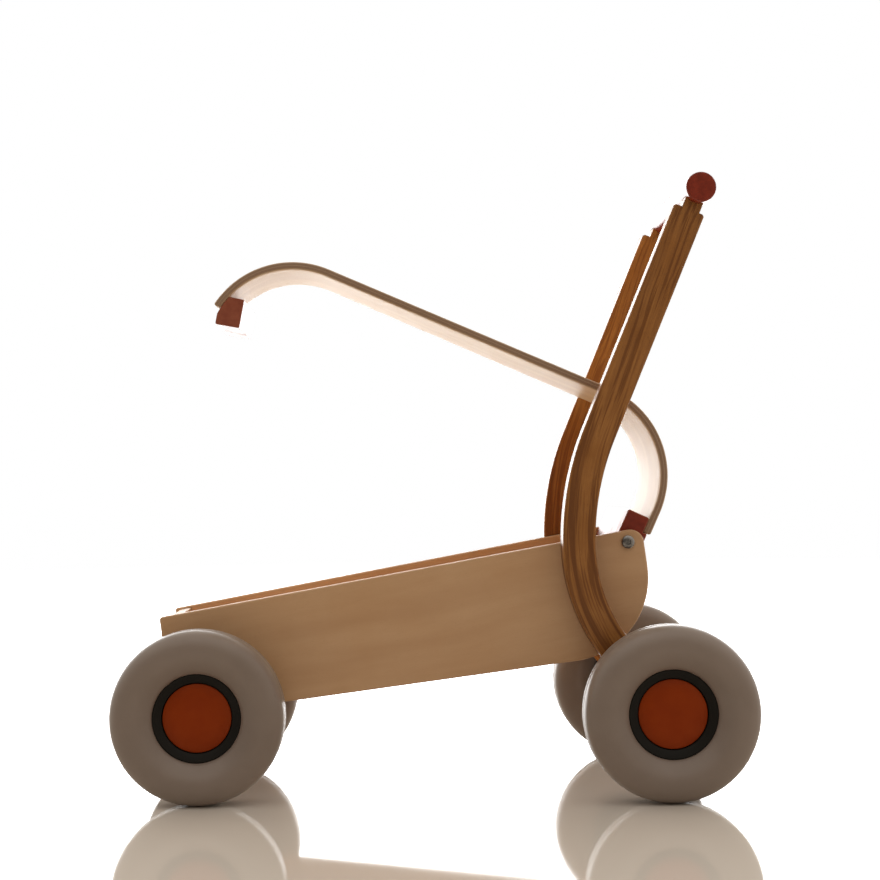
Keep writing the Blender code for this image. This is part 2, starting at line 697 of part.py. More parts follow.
def core_profile():
    """Closed section of the wheel core: rim, dished ring, cap pocket, bore and inboard hub tube."""
    bead = TYRE_BEAD_WIDTH / 2 - GAP
    bore = BUSH_RADIUS + GAP
    ring_inner = bead - RING_DISH
    return [
        (RIM_RADIUS, bead),
        (POCKET_RADIUS, ring_inner),
        (POCKET_RADIUS, POCKET_FLOOR),
        (bore, POCKET_FLOOR),
        (bore, HUB_TUBE_END),
        (HUB_TUBE_RADIUS, HUB_TUBE_END),
        (HUB_TUBE_RADIUS + MOULD_DRAFT, CORE_WEB),
        (POCKET_RADIUS, CORE_WEB),
        (POCKET_RADIUS + MOULD_DRAFT, -ring_inner),
        (RIM_RADIUS, -bead),
    ]


def cap_profile():
    """Section of the domed hub cap with its clip skirt, from the axis out and back."""
    edge = CAP_FACE - CAP_DOME
    under = edge - CAP_EDGE
    skirt_outer = CAP_RADIUS - CAP_SKIRT_INSET
    skirt_inner = skirt_outer - CAP_WALL
    dome = []
    for share in (0, 0.45, 0.8, 0.95, 1):
        dome.append((CAP_RADIUS * share, CAP_FACE - CAP_DOME * share**4))
    return dome + [
        (CAP_RADIUS, under),
        (skirt_outer, under),
        (skirt_outer, CAP_SKIRT_END),
        (skirt_inner, CAP_SKIRT_END),
        (skirt_inner, under),
        (0, CAP_FACE - CAP_WALL),
    ]


def axle_cap_profile():
    """Section of the push-on cap that keeps a wheel on its axle."""
    bore = AXLE_RADIUS + GAP
    inside = AXLE_END + GAP
    top = AXLE_END + AXLE_CAP_CROWN
    return [
        (0, top),
        (AXLE_CAP_RADIUS * 0.6, top - GAP),
        (AXLE_CAP_RADIUS, inside),
        (AXLE_CAP_RADIUS, AXLE_CAP_FOOT),
        (bore, AXLE_CAP_FOOT),
        (bore, inside),
        (0, inside),
    ]


def bush_profile():
    """Closed section of the flanged bearing bush."""
    flange_top = HUB_TUBE_END - GAP
    flange_end = flange_top - BUSH_FLANGE
    return [
        (AXLE_BORE, BUSH_OUTER_END),
        (AXLE_BORE, flange_end),
        (BUSH_FLANGE_RADIUS, flange_end),
        (BUSH_FLANGE_RADIUS, flange_top),
        (BUSH_RADIUS, flange_top),
        (BUSH_RADIUS, BUSH_OUTER_END),
    ]


def add_running_gear(materials, parent):
    """Two fixed axles and four free wheels, each with spacer and end cap."""
    for end, (x, half_track) in ENDS.items():
        reach = half_track + AXLE_END
        axle = rod(AXLE_RADIUS, -reach, reach)
        add_piece(f"{end}_axle", axle, materials["steel"], parent, (x, 0, WHEEL_RADIUS))
        for name, side in SIDES.items():
            place = (x, side * half_track, WHEEL_RADIUS)
            turn = 0.0 if side > 0 else math.pi
            wheel = empty(f"wheel_axis_{end}_{name}", place, turn)
            tag = f"{end}_{name}"
            add_piece(f"tyre_{tag}", turned(tyre_profile(), WHEEL_SEGMENTS), materials["tyre"], wheel)
            add_piece(f"wheel_core_{tag}", turned(core_profile(), HUB_SEGMENTS), materials["rim"], wheel)
            add_piece(f"hub_cap_{tag}", turned(cap_profile(), HUB_SEGMENTS), materials["orange"], wheel)
            add_piece(f"wheel_bush_{tag}", turned(bush_profile()), materials["nylon"], wheel)
            spacer = tube(AXLE_BORE, SPACER_RADIUS, *SPACER_FACES)
            add_piece(f"wheel_spacer_{tag}", spacer, materials["nylon"], parent, place, (0, 0, turn))
            axle_cap = turned(axle_cap_profile())
            add_piece(f"axle_cap_{tag}", axle_cap, materials["steel"], parent, place, (0, 0, turn))


def make_materials():
    """Plain finishes of the walker, by family."""
    return {
        "ply": principled("birch_plywood", (0.55, 0.38, 0.23), 0.5),
        "beech": principled("beech", (0.50, 0.31, 0.17), 0.5),
        "bentwood": principled("laminated_bentwood", (0.36, 0.18, 0.07), 0.42),
        "strip": principled("bent_plywood_strip", (0.58, 0.42, 0.28), 0.45),
        "red": principled("red_lacquer", (0.30, 0.03, 0.015), 0.35),
        "tyre": principled("grey_rubber", (0.17, 0.135, 0.105), 0.75),
        "rim": principled("black_plastic", (0.012, 0.011, 0.010), 0.45),
        "orange": principled("orange_plastic", (0.42, 0.06, 0.006), 0.4),
        "nylon": principled("white_nylon", (0.75, 0.73, 0.68), 0.5),
        "steel": principled("zinc_plated_steel", (0.62, 0.62, 0.60), 0.3, 1.0),
    }


def main():
    for item in list(bpy.data.objects):
        bpy.data.objects.remove(item, do_unlink=True)
    materials = make_materials()
    walker = empty("walker")
    bow_axis = empty("bow_axis", (PIVOT.x, 0, PIVOT.y))
    panels = add_panels(materials, walker)
    add_boards(materials, walker)
    add_uprights(materials, walker, panels)
    add_handle(materials, walker)
    add_bow(materials, bow_axis)
    add_running_gear(materials, walker)


main()
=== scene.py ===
"""Looks of a wooden baby push walker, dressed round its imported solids.

Metres, +Z up. The front wheels are at -X, and the child stands at +X.
"""

import math

import bmesh
import bpy
import numpy as np
from mathutils import Matrix, Vector


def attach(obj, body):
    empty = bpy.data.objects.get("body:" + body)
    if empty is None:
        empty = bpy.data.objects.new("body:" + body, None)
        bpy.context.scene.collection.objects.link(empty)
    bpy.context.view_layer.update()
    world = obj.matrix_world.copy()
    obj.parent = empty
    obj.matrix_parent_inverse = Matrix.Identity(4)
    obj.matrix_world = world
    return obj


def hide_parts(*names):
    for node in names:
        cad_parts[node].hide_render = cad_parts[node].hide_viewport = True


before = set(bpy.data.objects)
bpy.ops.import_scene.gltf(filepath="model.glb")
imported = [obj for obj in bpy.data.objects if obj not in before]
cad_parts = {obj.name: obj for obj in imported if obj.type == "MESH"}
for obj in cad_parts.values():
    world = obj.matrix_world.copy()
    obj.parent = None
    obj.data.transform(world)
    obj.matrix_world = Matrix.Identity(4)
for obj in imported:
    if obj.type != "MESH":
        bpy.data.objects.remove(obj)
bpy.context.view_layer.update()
scene = bpy.context.scene

# Clearance between pieces, easing of sawn edges, and how fine the curves are
GAP = 0.0003
EASE = 0.0015
FACET_SAG = 0.00002
EASE_STEPS = 3
WEAR_SHARE = 0.6
SHARP_ANGLE = math.radians(40.0)
MERGE = 0.000001
QUARTER = math.pi / 2
WHEEL_STEPS = 128
BAR_STEPS = 64
ROD_STEPS = 48
SCREW_STEPS = 32

# Running gear
WHEEL_RADIUS = 0.0765
AXLE_SPACING = 0.412
FRONT_TRACK = 0.208
REAR_TRACK = 0.270
AXLE_RADIUS = 0.004
AXLE_BORE = 0.0042
AXLE_END = 0.0062
TYRE_WIDTH = 0.050
TREAD_FLAT = 0.012
TYRE_BEAD_WIDTH = 0.030
TYRE_SHOULDER_RADIUS = 0.058
TYRE_SQUARENESS = 2.4
TYRE_LIP = 0.0008
LIP_ROLL = (0.3, 0.25)
PARTING_GROOVE = 0.00018
PARTING_WIDTH = 0.0005
SIDEWALL_STEPS = 10
SHOULDER_STEPS = 20
RIM_RADIUS = 0.0385
CAP_RADIUS = 0.030
POCKET_RADIUS = 0.0308
HUB_TUBE_RADIUS = 0.013
HUB_TUBE_END = -0.0235
BUSH_RADIUS = 0.007
BUSH_FLANGE_RADIUS = 0.011
BUSH_FLANGE = 0.0014
BUSH_OUTER_END = 0.0018
SPACER_RADIUS = 0.010
SPACER_FACES = (-0.0287, -0.0256)
RING_DISH = 0.004
POCKET_FLOOR = 0.002
CORE_WEB = -0.005
MOULD_DRAFT = 0.001
MOULD_ROUND = 0.0006
CAP_FACE = 0.0128
CAP_DOME = 0.0033
CAP_EDGE = 0.0019
CAP_WALL = 0.002
CAP_SKIRT_INSET = 0.0015
CAP_SKIRT_END = 0.003
CAP_STEPS = 18
RIB_COUNT = 8
RIB_THICKNESS = 0.0022
RIB_DEPTH = 0.0075

# Box side panels, in the sheet's own frame: along and down from the front top corner
PANEL_CORNER = (-0.245, 0.1606)
TOP_SLOPE = math.radians(9.8)
PANEL_LENGTH = 0.442
PANEL_FRONT_HEIGHT = 0.091
PANEL_REAR_HEIGHT = 0.1103
PANEL_THICKNESS = 0.010
FRONT_CORNER_RADIUS = 0.0025
REAR_CORNER_RADIUS = 0.012
REAR_ARC_RADIUS = 0.075
PIVOT_INSET = (0.015, 0.0105)
FRONT_HALF_WIDTH = 0.062
PIVOT_HALF_WIDTH = 0.086
GRAIN_TILT = 0.06

# Boards housed between the panels
HOUSING_DEPTH = 0.004
TONGUE_REBATE = 0.002
FLOOR_RAISE = 0.022
FLOOR_THICKNESS = 0.006
FRONT_BOARD = (0.0055, 0.0155)
REAR_BOARD = (0.3935, 0.4035)
FRONT_BOARD_DROP = 0.002
REAR_BOARD_DROP = 0.013
BEAM_WIDTH = 0.036
BEAM_DROP = 0.012
BEAM_HALF_LENGTH = 0.075
BEAM_CORNER_RADIUS = 0.004

# Bentwood uprights and the push bar
UPRIGHT_WIDTH = 0.029
UPRIGHT_FACES = (0.082, 0.106)
UPRIGHT_START = math.radians(129.2)
UPRIGHT_FOOT_RUN = 0.062
UPRIGHT_LOWER_BEND = (0.155, math.radians(-39.2))
UPRIGHT_UPPER_BEND = (0.253, math.radians(-22.9))
UPRIGHT_TOP_RUN = 0.2146
UPRIGHT_COLUMNS = 10
FOOT_STEPS = 10
FOOT_TIP = 0.02
FOOT_RUN_STEPS = 4
TOP_RUN_STEPS = 8
SECTION_STEP = 0.003
TENON_WIDTH = 0.0168
TENON_OFFSET = 0.0012
TENON_LENGTH = 0.0245
HANDLE_RISE = 0.0205
HANDLE_RADIUS = 0.0135
HANDLE_HALF_LENGTH = 0.116
HANDLE_RIM = 3 * EASE
HANDLE_WEAR = 2 * EASE

# Bow: a bent strip between a pivot bar and a front bar, placed from the pivot axis
STRIP_THICKNESS = 0.0068
STRIP_FRONT_HALF_WIDTH = 0.060
STRIP_REAR_HALF_WIDTH = 0.073
STRIP_BEND_RADIUS = 0.082
STRIP_START = Vector((0.0194, 0.0066))
STRIP_HEADING = math.radians(65.0)
STRIP_TAIL = 0.022
STRIP_REAR_BEND = math.radians(91.2)
STRIP_RUN = 0.2776
STRIP_FRONT_BEND = math.radians(79.8)
STRIP_EASE = 0.0018
STRIP_COLUMNS = 12
STRIP_STEP = 0.03
PIVOT_BAR_FRONT = 0.0095
PIVOT_BAR_TOP = 0.028
PIVOT_BAR_FOOT_RADIUS = 0.009
PIVOT_BAR_LEDGE = 0.004
LEDGE_CORNER_RADIUS = 0.0004
FRONT_BAR_CORNER = Vector((-0.3693, 0.2031))
FRONT_BAR_TILT = math.radians(-11.0)
FRONT_BAR_SIZE = (0.0222, 0.0264)
BAR_EDGE_RADIUS = 0.0015

# Fasteners
BOLT_RADIUS = 0.003
BOLT_LENGTH = 0.038
BOLT_HEAD_RADIUS = 0.0058
BOLT_HEAD_HEIGHT = 0.0032
BOLT_DOME = 0.55
BOLT_DOME_STEPS = 8
BOLT_STANDOFF = 0.0007
BOLT_BORE = 0.0034
BOLT_SOCKET_RADIUS = 0.0029
BOLT_SOCKET_DEPTH = 0.0019
BOLT_SOCKET_SIDES = 6
PIVOT_WASHER_RADIUS = 0.008
PIVOT_WASHER_FACES = (0.0733, 0.0751)
SCREW_HEAD_RADIUS = 0.004
SCREW_SHANK_RADIUS = 0.002
SCREW_HEAD_DEPTH = 0.0022
SCREW_SINK = 0.0004
SCREW_SLOT = (0.0024, 0.00055, 0.0013)
SCREW_SLOT_TAPER = 0.45
UPRIGHT_SCREW_TURNS = (math.radians(4.0), math.radians(20.0))
UPRIGHT_SCREW_LENGTH = 0.025
BEAM_SCREW_SPREAD = 0.060
BEAM_SCREW_LENGTH = 0.016
BOW_SCREW_LENGTH = 0.018
BOW_SCREW_REAR_SPREAD = 0.080
BOW_SCREW_FRONT_SPREAD = 0.070
BOW_SCREW_REAR_HEIGHT = 0.021
BOW_SCREW_FRONT_TURN = math.radians(6.0)

# Surface effects: pattern scales per metre, and spans that noise is stretched from
NOISE_SPAN = (0.3, 0.7)
WANDER_SCALE = 9.0
FIBRE_LENGTH = 40.0
PORE_WIDTH = 0.55
PORE_LENGTH = 6.0
PORE_SPAN = (0.66, 0.76)
GLUE_SPAN = (0.10, 0.03)
RUB_SCALE = 140.0
RUB_PATCH_SCALE = 22.0
RUB_START = 1.45
RUB_FADE = 0.18
SCUFF_TURN = (0.7, 0.4, 1.1)
SCUFF_SCALE = (9, 260, 90)
SCUFF_SPAN = (0.68, 0.74)
SCUFF_ZONE_SCALE = 14.0
SCUFF_ZONE_SPAN = (0.52, 0.66)
END_GRAIN_SCALE = 1600.0
DUST_SCALE = 60.0
DUST_SPAN = (0.35, 0.65)
TREAD_BAND = 0.004
# Band beside the rim where the tyre is painted darker: painted shade in the crease
RIM_CREASE_SHADE_BAND = (0.004, 0.0005)
# Share of a sheet's depth from which its back face is painted lighter: painted bounce light
INNER_LIGHT_DEPTH = 0.8
GRAIN_RUNOUT = -0.06
GRAIN_RUNOUT_START = 0.2
GRAIN_RUNOUT_FADE = 0.14
BAND_SQUEEZE = 0.6
BAND_STRENGTH = (0.95, 0.3)
LINE_SHIFT = 3.0

# Camera and studio
PHOTO_PIXELS = 880
FOCAL_PIXELS = 1700
SENSOR_WIDTH = 36.0
CAMERA_PLACE = (-0.0336, -1.607, 0.2783)
CAMERA_YAW = math.radians(1.66)
CAMERA_PITCH = math.radians(1.45)
CAMERA_ROLL = math.radians(-0.86)
FLOOR_HALF_SIZE = 14.0
FLOOR_FADE = (1.3, 4.5)
FLOOR_COLOUR = (0.74, 0.67, 0.59)
FLOOR_CLOUD_SCALE = 3.0
FLOOR_ROUGHNESS = (0.04, 0.07)
FLOOR_GLOSS = 1.65
SCREEN_LIGHT = (5.5, 5.5, 5.5)
SCREEN_SPAN = (0.66, 0.88)
SCREEN_HEIGHT = (0.60, 0.25)
BACK_LIGHT = (1.0, 0.96, 0.90)
BACK_SPAN = (-0.75, 0.45)
TOP_LIGHT = (1.06, 1.0, 0.92)
TOP_SPAN = (0.30, 0.90)
FRONT_LIGHT = (0.18, 0.155, 0.13)
SIDE_LIGHT = (0.55, 0.48, 0.41)
SIDE_SPAN = (-0.1, 0.8)
WHITE = (1, 1, 1)

SIDES = {"left": -1, "right": 1}
ENDS = {"front": (-AXLE_SPACING / 2, FRONT_TRACK / 2), "rear": (AXLE_SPACING / 2, REAR_TRACK / 2)}


# Side-view geometry

def direction(angle):
    """Unit vector in the side view, counted from +X towards +Z."""
    return Vector((math.cos(angle), math.sin(angle)))


def on_panel(along, down):
    """Side-view place of a point on the panel's sheet."""
    return Vector(PANEL_CORNER) + along * direction(TOP_SLOPE) + down * direction(TOP_SLOPE - QUARTER)


PANEL_SPREAD = (PANEL_REAR_HEIGHT - PANEL_FRONT_HEIGHT) / PANEL_LENGTH


def bottom_edge(along, raised=0.0):
    """Side-view place of a point raised above the panel's lower edge."""
    return on_panel(along, PANEL_FRONT_HEIGHT + along * PANEL_SPREAD - raised)


def square_end(along):
    """Lower corner of a panel's end, cut square to the lower edge from a point of the top edge."""
    height = (PANEL_FRONT_HEIGHT + along * PANEL_SPREAD) / (1 + PANEL_SPREAD**2)
    return bottom_edge(along - height * PANEL_SPREAD)


PIVOT = on_panel(PANEL_LENGTH - PIVOT_INSET[0], PIVOT_INSET[1])
REAR_AXLE = Vector((AXLE_SPACING / 2, WHEEL_RADIUS))
FRONT_AXLE = Vector((-AXLE_SPACING / 2, WHEEL_RADIUS))
AXLE_ALONG = (FRONT_AXLE - Vector(PANEL_CORNER)).dot(direction(TOP_SLOPE))
SPLAY = (PIVOT_HALF_WIDTH - FRONT_HALF_WIDTH) / (PIVOT.x - PANEL_CORNER[0])
FLOOR_UP = (bottom_edge(0, 1) - bottom_edge(0, 0)).normalized()
FLOOR_RUN = (bottom_edge(1) - bottom_edge(0)).normalized()
PANEL_RUN = direction(TOP_SLOPE)
PANEL_UP = direction(TOP_SLOPE + QUARTER)


def half_width(x):
    """Outer half-width of the splayed box at a given X."""
    return FRONT_HALF_WIDTH + SPLAY * (x - PANEL_CORNER[0])


def splayed(side, inset):
    """Y of a face that follows the box's splay, inset from the panel's outer face."""
    return lambda x: side * (half_width(x) - inset)


def flat(y):
    """Y of a face square to the axles."""
    return lambda x: y


def widened(span, margin):
    """A span grown by a margin at both ends."""
    return span[0] - margin, span[1] + margin


def bend_steps(radius, turn):
    """Facets that keep a bend within FACET_SAG of its true curve."""
    return max(2, math.ceil(abs(turn) / math.sqrt(8 * FACET_SAG / radius)))


def corner_arc(before, corner, after, radius):
    """Points of the arc that rounds one corner of an outline."""
    to_before = (Vector(before) - corner).normalized()
    to_after = (Vector(after) - corner).normalized()
    half_angle = to_before.angle(to_after) / 2
    centre = corner + (to_before + to_after).normalized() * radius / math.sin(half_angle)
    first = corner + to_before * radius / math.tan(half_angle) - centre
    sweep = first.angle_signed(corner + to_after * radius / math.tan(half_angle) - centre)
    steps = bend_steps(radius, sweep)
    return [centre + Matrix.Rotation(-sweep * step / steps, 2) @ first for step in range(steps + 1)]


def rounded(corners, closed=True):
    """Outline through corners (x, z, radius), each turned with an arc of its radius."""
    outline = []
    for index, (x, z, radius) in enumerate(corners):
        corner = Vector((x, z))
        if radius == 0 or (not closed and index in (0, len(corners) - 1)):
            outline.append(corner)
            continue
        following = corners[(index + 1) % len(corners)]
        outline += corner_arc(corners[index - 1][:2], corner, following[:2], radius)
    return outline


def centre_line(start, heading, moves):
    """Stations (place, heading) along straight runs (length, 0) and bends (radius, turn)."""
    place = Vector(start)
    stations = [(place, heading)]
    for size, turn in moves:
        if turn == 0:
            place = place + size * direction(heading)
            stations.append((place, heading))
            continue
        radius = math.copysign(size, turn)
        centre = place + radius * direction(heading + QUARTER)
        steps = bend_steps(size, turn)
        for _ in range(steps):
            heading += turn / steps
            place = centre - radius * direction(heading + QUARTER)
            stations.append((place, heading))
    return stations


def arc(centre, radius, start, end):
    """Points on an arc in the side view."""
    steps = bend_steps(radius, end - start)
    step = (end - start) / steps
    return [centre + radius * direction(start + step * count) for count in range(steps + 1)]


# Mesh making

def to_mesh(solid, name):
    """A plain mesh from a mesh under construction."""
    mesh = bpy.data.meshes.new(name)
    solid.to_mesh(mesh)
    solid.free()
    return mesh


def prism(outline, low, high):
    """Solid between two faces whose Y follows X, extruded from a side outline."""
    solid = bmesh.new()
    face = solid.faces.new([solid.verts.new((x, low(x), z)) for x, z in outline])
    for vert in bmesh.ops.extrude_face_region(solid, geom=[face])["geom"]:
        if isinstance(vert, bmesh.types.BMVert):
            vert.co.y = high(vert.co.x)
    bmesh.ops.recalc_face_normals(solid, faces=solid.faces)
    return solid


def cutter(outline, low, high):
    """A prism as a plain mesh, to be taken out of a piece."""
    return to_mesh(prism(outline, low, high), "waste")


def planed(name, outline, low, high, width):
    """A prism with its sharp edges rounded, and its broad faces ringed to keep wear near the edges."""
    solid = prism(outline, low, high)
    sharp = [edge for edge in solid.edges if edge.calc_face_angle() > SHARP_ANGLE]
    rounds = set(
        bmesh.ops.bevel(
            solid, geom=sharp, offset=width, segments=EASE_STEPS, profile=0.5, affect="EDGES"
        )["faces"]
    )
    worn = solid.verts.layers.float.new("edge")
    for vert in solid.verts:
        vert[worn] = 1.0
    broad = [face for face in solid.faces if face not in rounds]
    bmesh.ops.inset_region(solid, faces=broad, thickness=width * WEAR_SHARE, use_even_offset=True)
    for face in broad:
        for vert in face.verts:
            vert[worn] = 0.0
    return to_mesh(solid, name)


def closed_up(mesh):
    """Joins doubled points, fills open ends and turns the faces outwards."""
    solid = bmesh.new()
    solid.from_mesh(mesh)
    bmesh.ops.remove_doubles(solid, verts=solid.verts, dist=MERGE)
    bmesh.ops.holes_fill(solid, edges=[edge for edge in solid.edges if edge.is_boundary], sides=0)
    bmesh.ops.recalc_face_normals(solid, faces=solid.faces)
    solid.to_mesh(mesh)
    solid.free()
    return mesh


def linked(name, data):
    """A mesh or a camera as an object of the scene."""
    item = bpy.data.objects.new(name, data)
    scene.collection.objects.link(item)
    return item


def plain_mesh(item, *helpers):
    """The evaluated mesh of an object, which is removed with its helpers."""
    graph = bpy.context.evaluated_depsgraph_get()
    mesh = bpy.data.meshes.new_from_object(
        item.evaluated_get(graph), preserve_all_data_layers=True, depsgraph=graph
    )
    mesh.name = item.name
    for used in (item, *helpers):
        bpy.data.objects.remove(used, do_unlink=True)
    return mesh


def carved(mesh, cutters):
    """A mesh with closed solids taken out of it."""
    item = linked(mesh.name, mesh)
    tools = [linked("cutter", waste) for waste in cutters]
    for tool in tools:
        boolean = item.modifiers.new("cut", "BOOLEAN")
        boolean.operation = "DIFFERENCE"
        boolean.solver = "EXACT"
        boolean.object = tool
    return plain_mesh(item, *tools)


def placed(mesh, matrix):
    """A mesh moved to its place."""
    mesh.transform(matrix)
    return mesh


def shifted(spot, y=0.0):
    """Move to a place of the side view."""
    return Matrix.Translation((spot[0], y, spot[1]))


def facing_out(side):
    """Turn that takes a piece made for the right side to its own side."""
    return Matrix.Rotation(0 if side > 0 else math.pi, 4, "Z")


def facing_matrix(place, outward):
    """Place of a fastener whose Y axis points outward."""
    return Matrix.Translation(place) @ outward.to_track_quat("Y", "Z").to_matrix().to_4x4()


def coordinates(mesh):
    """Vertex places as an array."""
    places = np.zeros(len(mesh.vertices) * 3)
    mesh.vertices.foreach_get("co", places)
    return places.reshape(-1, 3)


def write_numbers(mesh, **numbers):
    """A number at each vertex, by name, for the materials to read."""
    for name, values in numbers.items():
        layer = mesh.attributes.get(name) or mesh.attributes.new(name, "FLOAT", "POINT")
        layer.data.foreach_set("value", np.asarray(values, dtype=np.float32))


def grain_on_bend(mesh, stations):
    """Grain axes of a bent piece: along and off its centre line, and across it."""
    places = coordinates(mesh)
    side = places[:, [0, 2]]
    line = np.array([place[:] for place, _ in stations])
    best = np.full(len(side), np.inf)
    along, depth = np.zeros((2, len(side)))
    travelled = 0.0
    last = len(line) - 2
    for index, (start, end) in enumerate(zip(line, line[1:])):
        length = np.linalg.norm(end - start)
        unit = (end - start) / length
        low = 0.0 if index > 0 else -np.inf
        high = length if index < last else np.inf
        reach = np.clip((side - start) @ unit, low, high)
        off = side - start - reach[:, None] * unit
        distance = np.linalg.norm(off, axis=1)
        nearer = distance < best
        best[nearer] = distance[nearer]
        along[nearer] = travelled + reach[nearer]
        depth[nearer] = off[nearer] @ np.array([-unit[1], unit[0]])
        travelled += length
    write_numbers(mesh, along=along, across=places[:, 1], depth=depth)


def finish_piece(name, mesh, material, body, slot, *nodes):
    """One dressed piece: shaded, riding its body and standing for its solids."""
    mesh.materials.clear()
    mesh.materials.append(material)
    mesh.shade_smooth()
    mesh.set_sharp_from_angle(angle=SHARP_ANGLE)
    mesh.name = name
    piece = linked(name, mesh)
    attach(piece, body)
    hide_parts(*nodes)


# Node trees

class Signal:
    """An output in a node tree. Sums with it become Math nodes of that tree."""

    def __init__(self, tree, socket):
        self.tree = tree
        self.socket = socket

    def __add__(self, other):
        return maths("ADD", self, other)

    def __sub__(self, other):
        return maths("SUBTRACT", self, other)

    def __rsub__(self, other):
        return maths("SUBTRACT", other, self)

    def __mul__(self, other):
        return maths("MULTIPLY", self, other)

    def __truediv__(self, other):
        return maths("DIVIDE", self, other)

    def __mod__(self, other):
        return maths("MODULO", self, other)


def pick(sockets, name):
    """The socket at a place, or the one of that name that is in use."""
    if isinstance(name, int):
        return sockets[name]
    return next(socket for socket in sockets if socket.name == name and socket.enabled)


def connect(node, wires):
    """Inputs of a node, wired from signals or set to values; colours are given without alpha."""
    for name, value in wires.items():
        target = pick(node.inputs, name)
        if isinstance(value, Signal):
            value.tree.links.new(value.socket, target)
        else:
            target.default_value = (*value, 1) if target.type == "RGBA" else value


def add(kind, wires, out=0, tree=None, **settings):
    """One output of a new node, in the tree of the signals that it takes."""
    tree = tree or next(value.tree for value in wires.values() if isinstance(value, Signal))
    node = tree.nodes.new(kind)
    for name, value in settings.items():
        setattr(node, name, value)
    connect(node, wires)
    return Signal(tree, pick(node.outputs, out))


def maths(operation, *values):
    """The result of one sum."""
    return add("ShaderNodeMath", dict(enumerate(values)), operation=operation)


def vector_of(x, y, z):
    """A vector from three values."""
    return add("ShaderNodeCombineXYZ", {"X": x, "Y": y, "Z": z})


def split(vector):
    """The three values of a vector."""
    node = add("ShaderNodeSeparateXYZ", {0: vector}).socket.node
    return [Signal(vector.tree, socket) for socket in node.outputs]


GEOMETRY = "NodeSocketGeometry"
OBJECT = "NodeSocketObject"
MATERIAL = "NodeSocketMaterial"
VECTOR = "NodeSocketVector"
NUMBERS = {float: "NodeSocketFloat", int: "NodeSocketInt"}


def new_group(name, kind, inputs, outputs, output_type):
    """A group whose inputs are socket types or starting numbers: it, its inputs and its output node."""
    tree = bpy.data.node_groups.new(name, kind)
    for label, value in inputs.items():
        socket_type = NUMBERS.get(type(value), value)
        made = tree.interface.new_socket(label, in_out="INPUT", socket_type=socket_type)
        if socket_type != value:
            made.default_value = value
    for label in outputs:
        tree.interface.new_socket(label, in_out="OUTPUT", socket_type=output_type)
    sockets = tree.nodes.new("NodeGroupInput").outputs
    given = {label: Signal(tree, sockets[label]) for label in inputs}
    return tree, given, tree.nodes.new("NodeGroupOutput")


def shape_group(name, inputs):
    """An empty tree for making a mesh."""
    return new_group(name, "GeometryNodeTree", inputs, ["Geometry"], GEOMETRY)


def named_number(tree, name, kind="FLOAT"):
    """A number or a vector stored on the points."""
    return add("GeometryNodeInputNamedAttribute", {"Name": name}, "Attribute", tree, data_type=kind)


def sampled(geometry, value, index, kind="FLOAT"):
    """A value read from one point of a geometry."""
    wires = {"Geometry": geometry, "Value": value, "Index": index}
    return add("GeometryNodeSampleIndex", wires, data_type=kind)


def sampled_place(geometry, index):
    """Coordinates of one point of a geometry."""
    position = add("GeometryNodeInputPosition", {}, tree=geometry.tree)
    return split(sampled(geometry, position, index, "FLOAT_VECTOR"))


def point_count(geometry):
    """How many points a geometry has."""
    return add("GeometryNodeAttributeDomainSize", {0: geometry}, "Point Count", component="MESH")


def grid_rows(columns, rows):
    """A sheet of points, with the column and the row of each."""
    sheet = add("GeometryNodeMeshGrid", {"Vertices X": columns, "Vertices Y": rows}, "Mesh")
    index = add("GeometryNodeInputIndex", {}, tree=sheet.tree)
    return sheet, maths("FLOOR", index / rows), index % rows


def close_tree(result, geometry, material):
    """Makes real meshes of instances and sets the material."""
    real = add("GeometryNodeRealizeInstances", {"Geometry": geometry})
    connect(result, {0: add("GeometryNodeSetMaterial", {"Geometry": real, "Material": material})})


def close_sheet(result, sheet, place, kept, material):
    """Moves a sheet's points, keeps a named number on them, and joins the seam."""
    name, value = kept
    wires = {"Geometry": sheet, "Name": name, "Value": value}
    sheet = add("GeometryNodeStoreNamedAttribute", wires, data_type="FLOAT", domain="POINT")
    moved = add("GeometryNodeSetPosition", {"Geometry": sheet, "Position": vector_of(*place)})
    merged = add("GeometryNodeMergeByDistance", {"Geometry": moved, "Distance": MERGE})
    close_tree(result, merged, material)


def turned_tree():
    """Turns a profile of points (radius, y) about the Y axis and keeps each point's radius."""
    inputs = {"Profile": GEOMETRY, "Steps": WHEEL_STEPS, "Material": MATERIAL}
    tree, given, result = shape_group("turned_piece", inputs)
    profile, steps = given["Profile"], given["Steps"]
    sheet, column, row = grid_rows(steps + 1, point_count(profile))
    radius, y, _ = sampled_place(profile, row)
    angle = column / steps * math.tau
    place = radius * maths("COSINE", angle), y, radius * maths("SINE", angle)
    close_sheet(result, sheet, place, ("radius", radius), given["Material"])
    return tree


def bent_tree():
    """Carries a section along a bent centre line, its width running from one end's to the other's."""
    inputs = {
        "Stations": GEOMETRY,
        "Section": OBJECT,
        "Start Half Width": STRIP_REAR_HALF_WIDTH,
        "End Half Width": STRIP_FRONT_HALF_WIDTH,
        "Corner Radius": STRIP_EASE,
        "Material": MATERIAL,
    }
    tree, given, result = shape_group("bent_piece", inputs)
    stations, start = given["Stations"], given["Start Half Width"]
    section = add("GeometryNodeObjectInfo", {"Object": given["Section"]}, "Geometry")
    count = point_count(section)
    sheet, column, row = grid_rows(point_count(stations), count + 1)
    turn = row % count
    x, y, z = sampled_place(stations, column)
    heading, reach, thick, narrow = (
        sampled(stations, named_number(tree, name), column)
        for name in ("heading", "reach", "thick", "narrow")
    )
    share, extra, off = sampled_place(section, turn)
    worn = sampled(section, named_number(tree, "edge"), turn)
    half = (given["End Half Width"] - start) * reach + start - given["Corner Radius"] - narrow
    off = off * thick
    place = (
        x - off * maths("SINE", heading),
        share * half + extra + y,
        off * maths("COSINE", heading) + z,
    )
    close_sheet(result, sheet, place, ("edge", worn), given["Material"])
    return tree


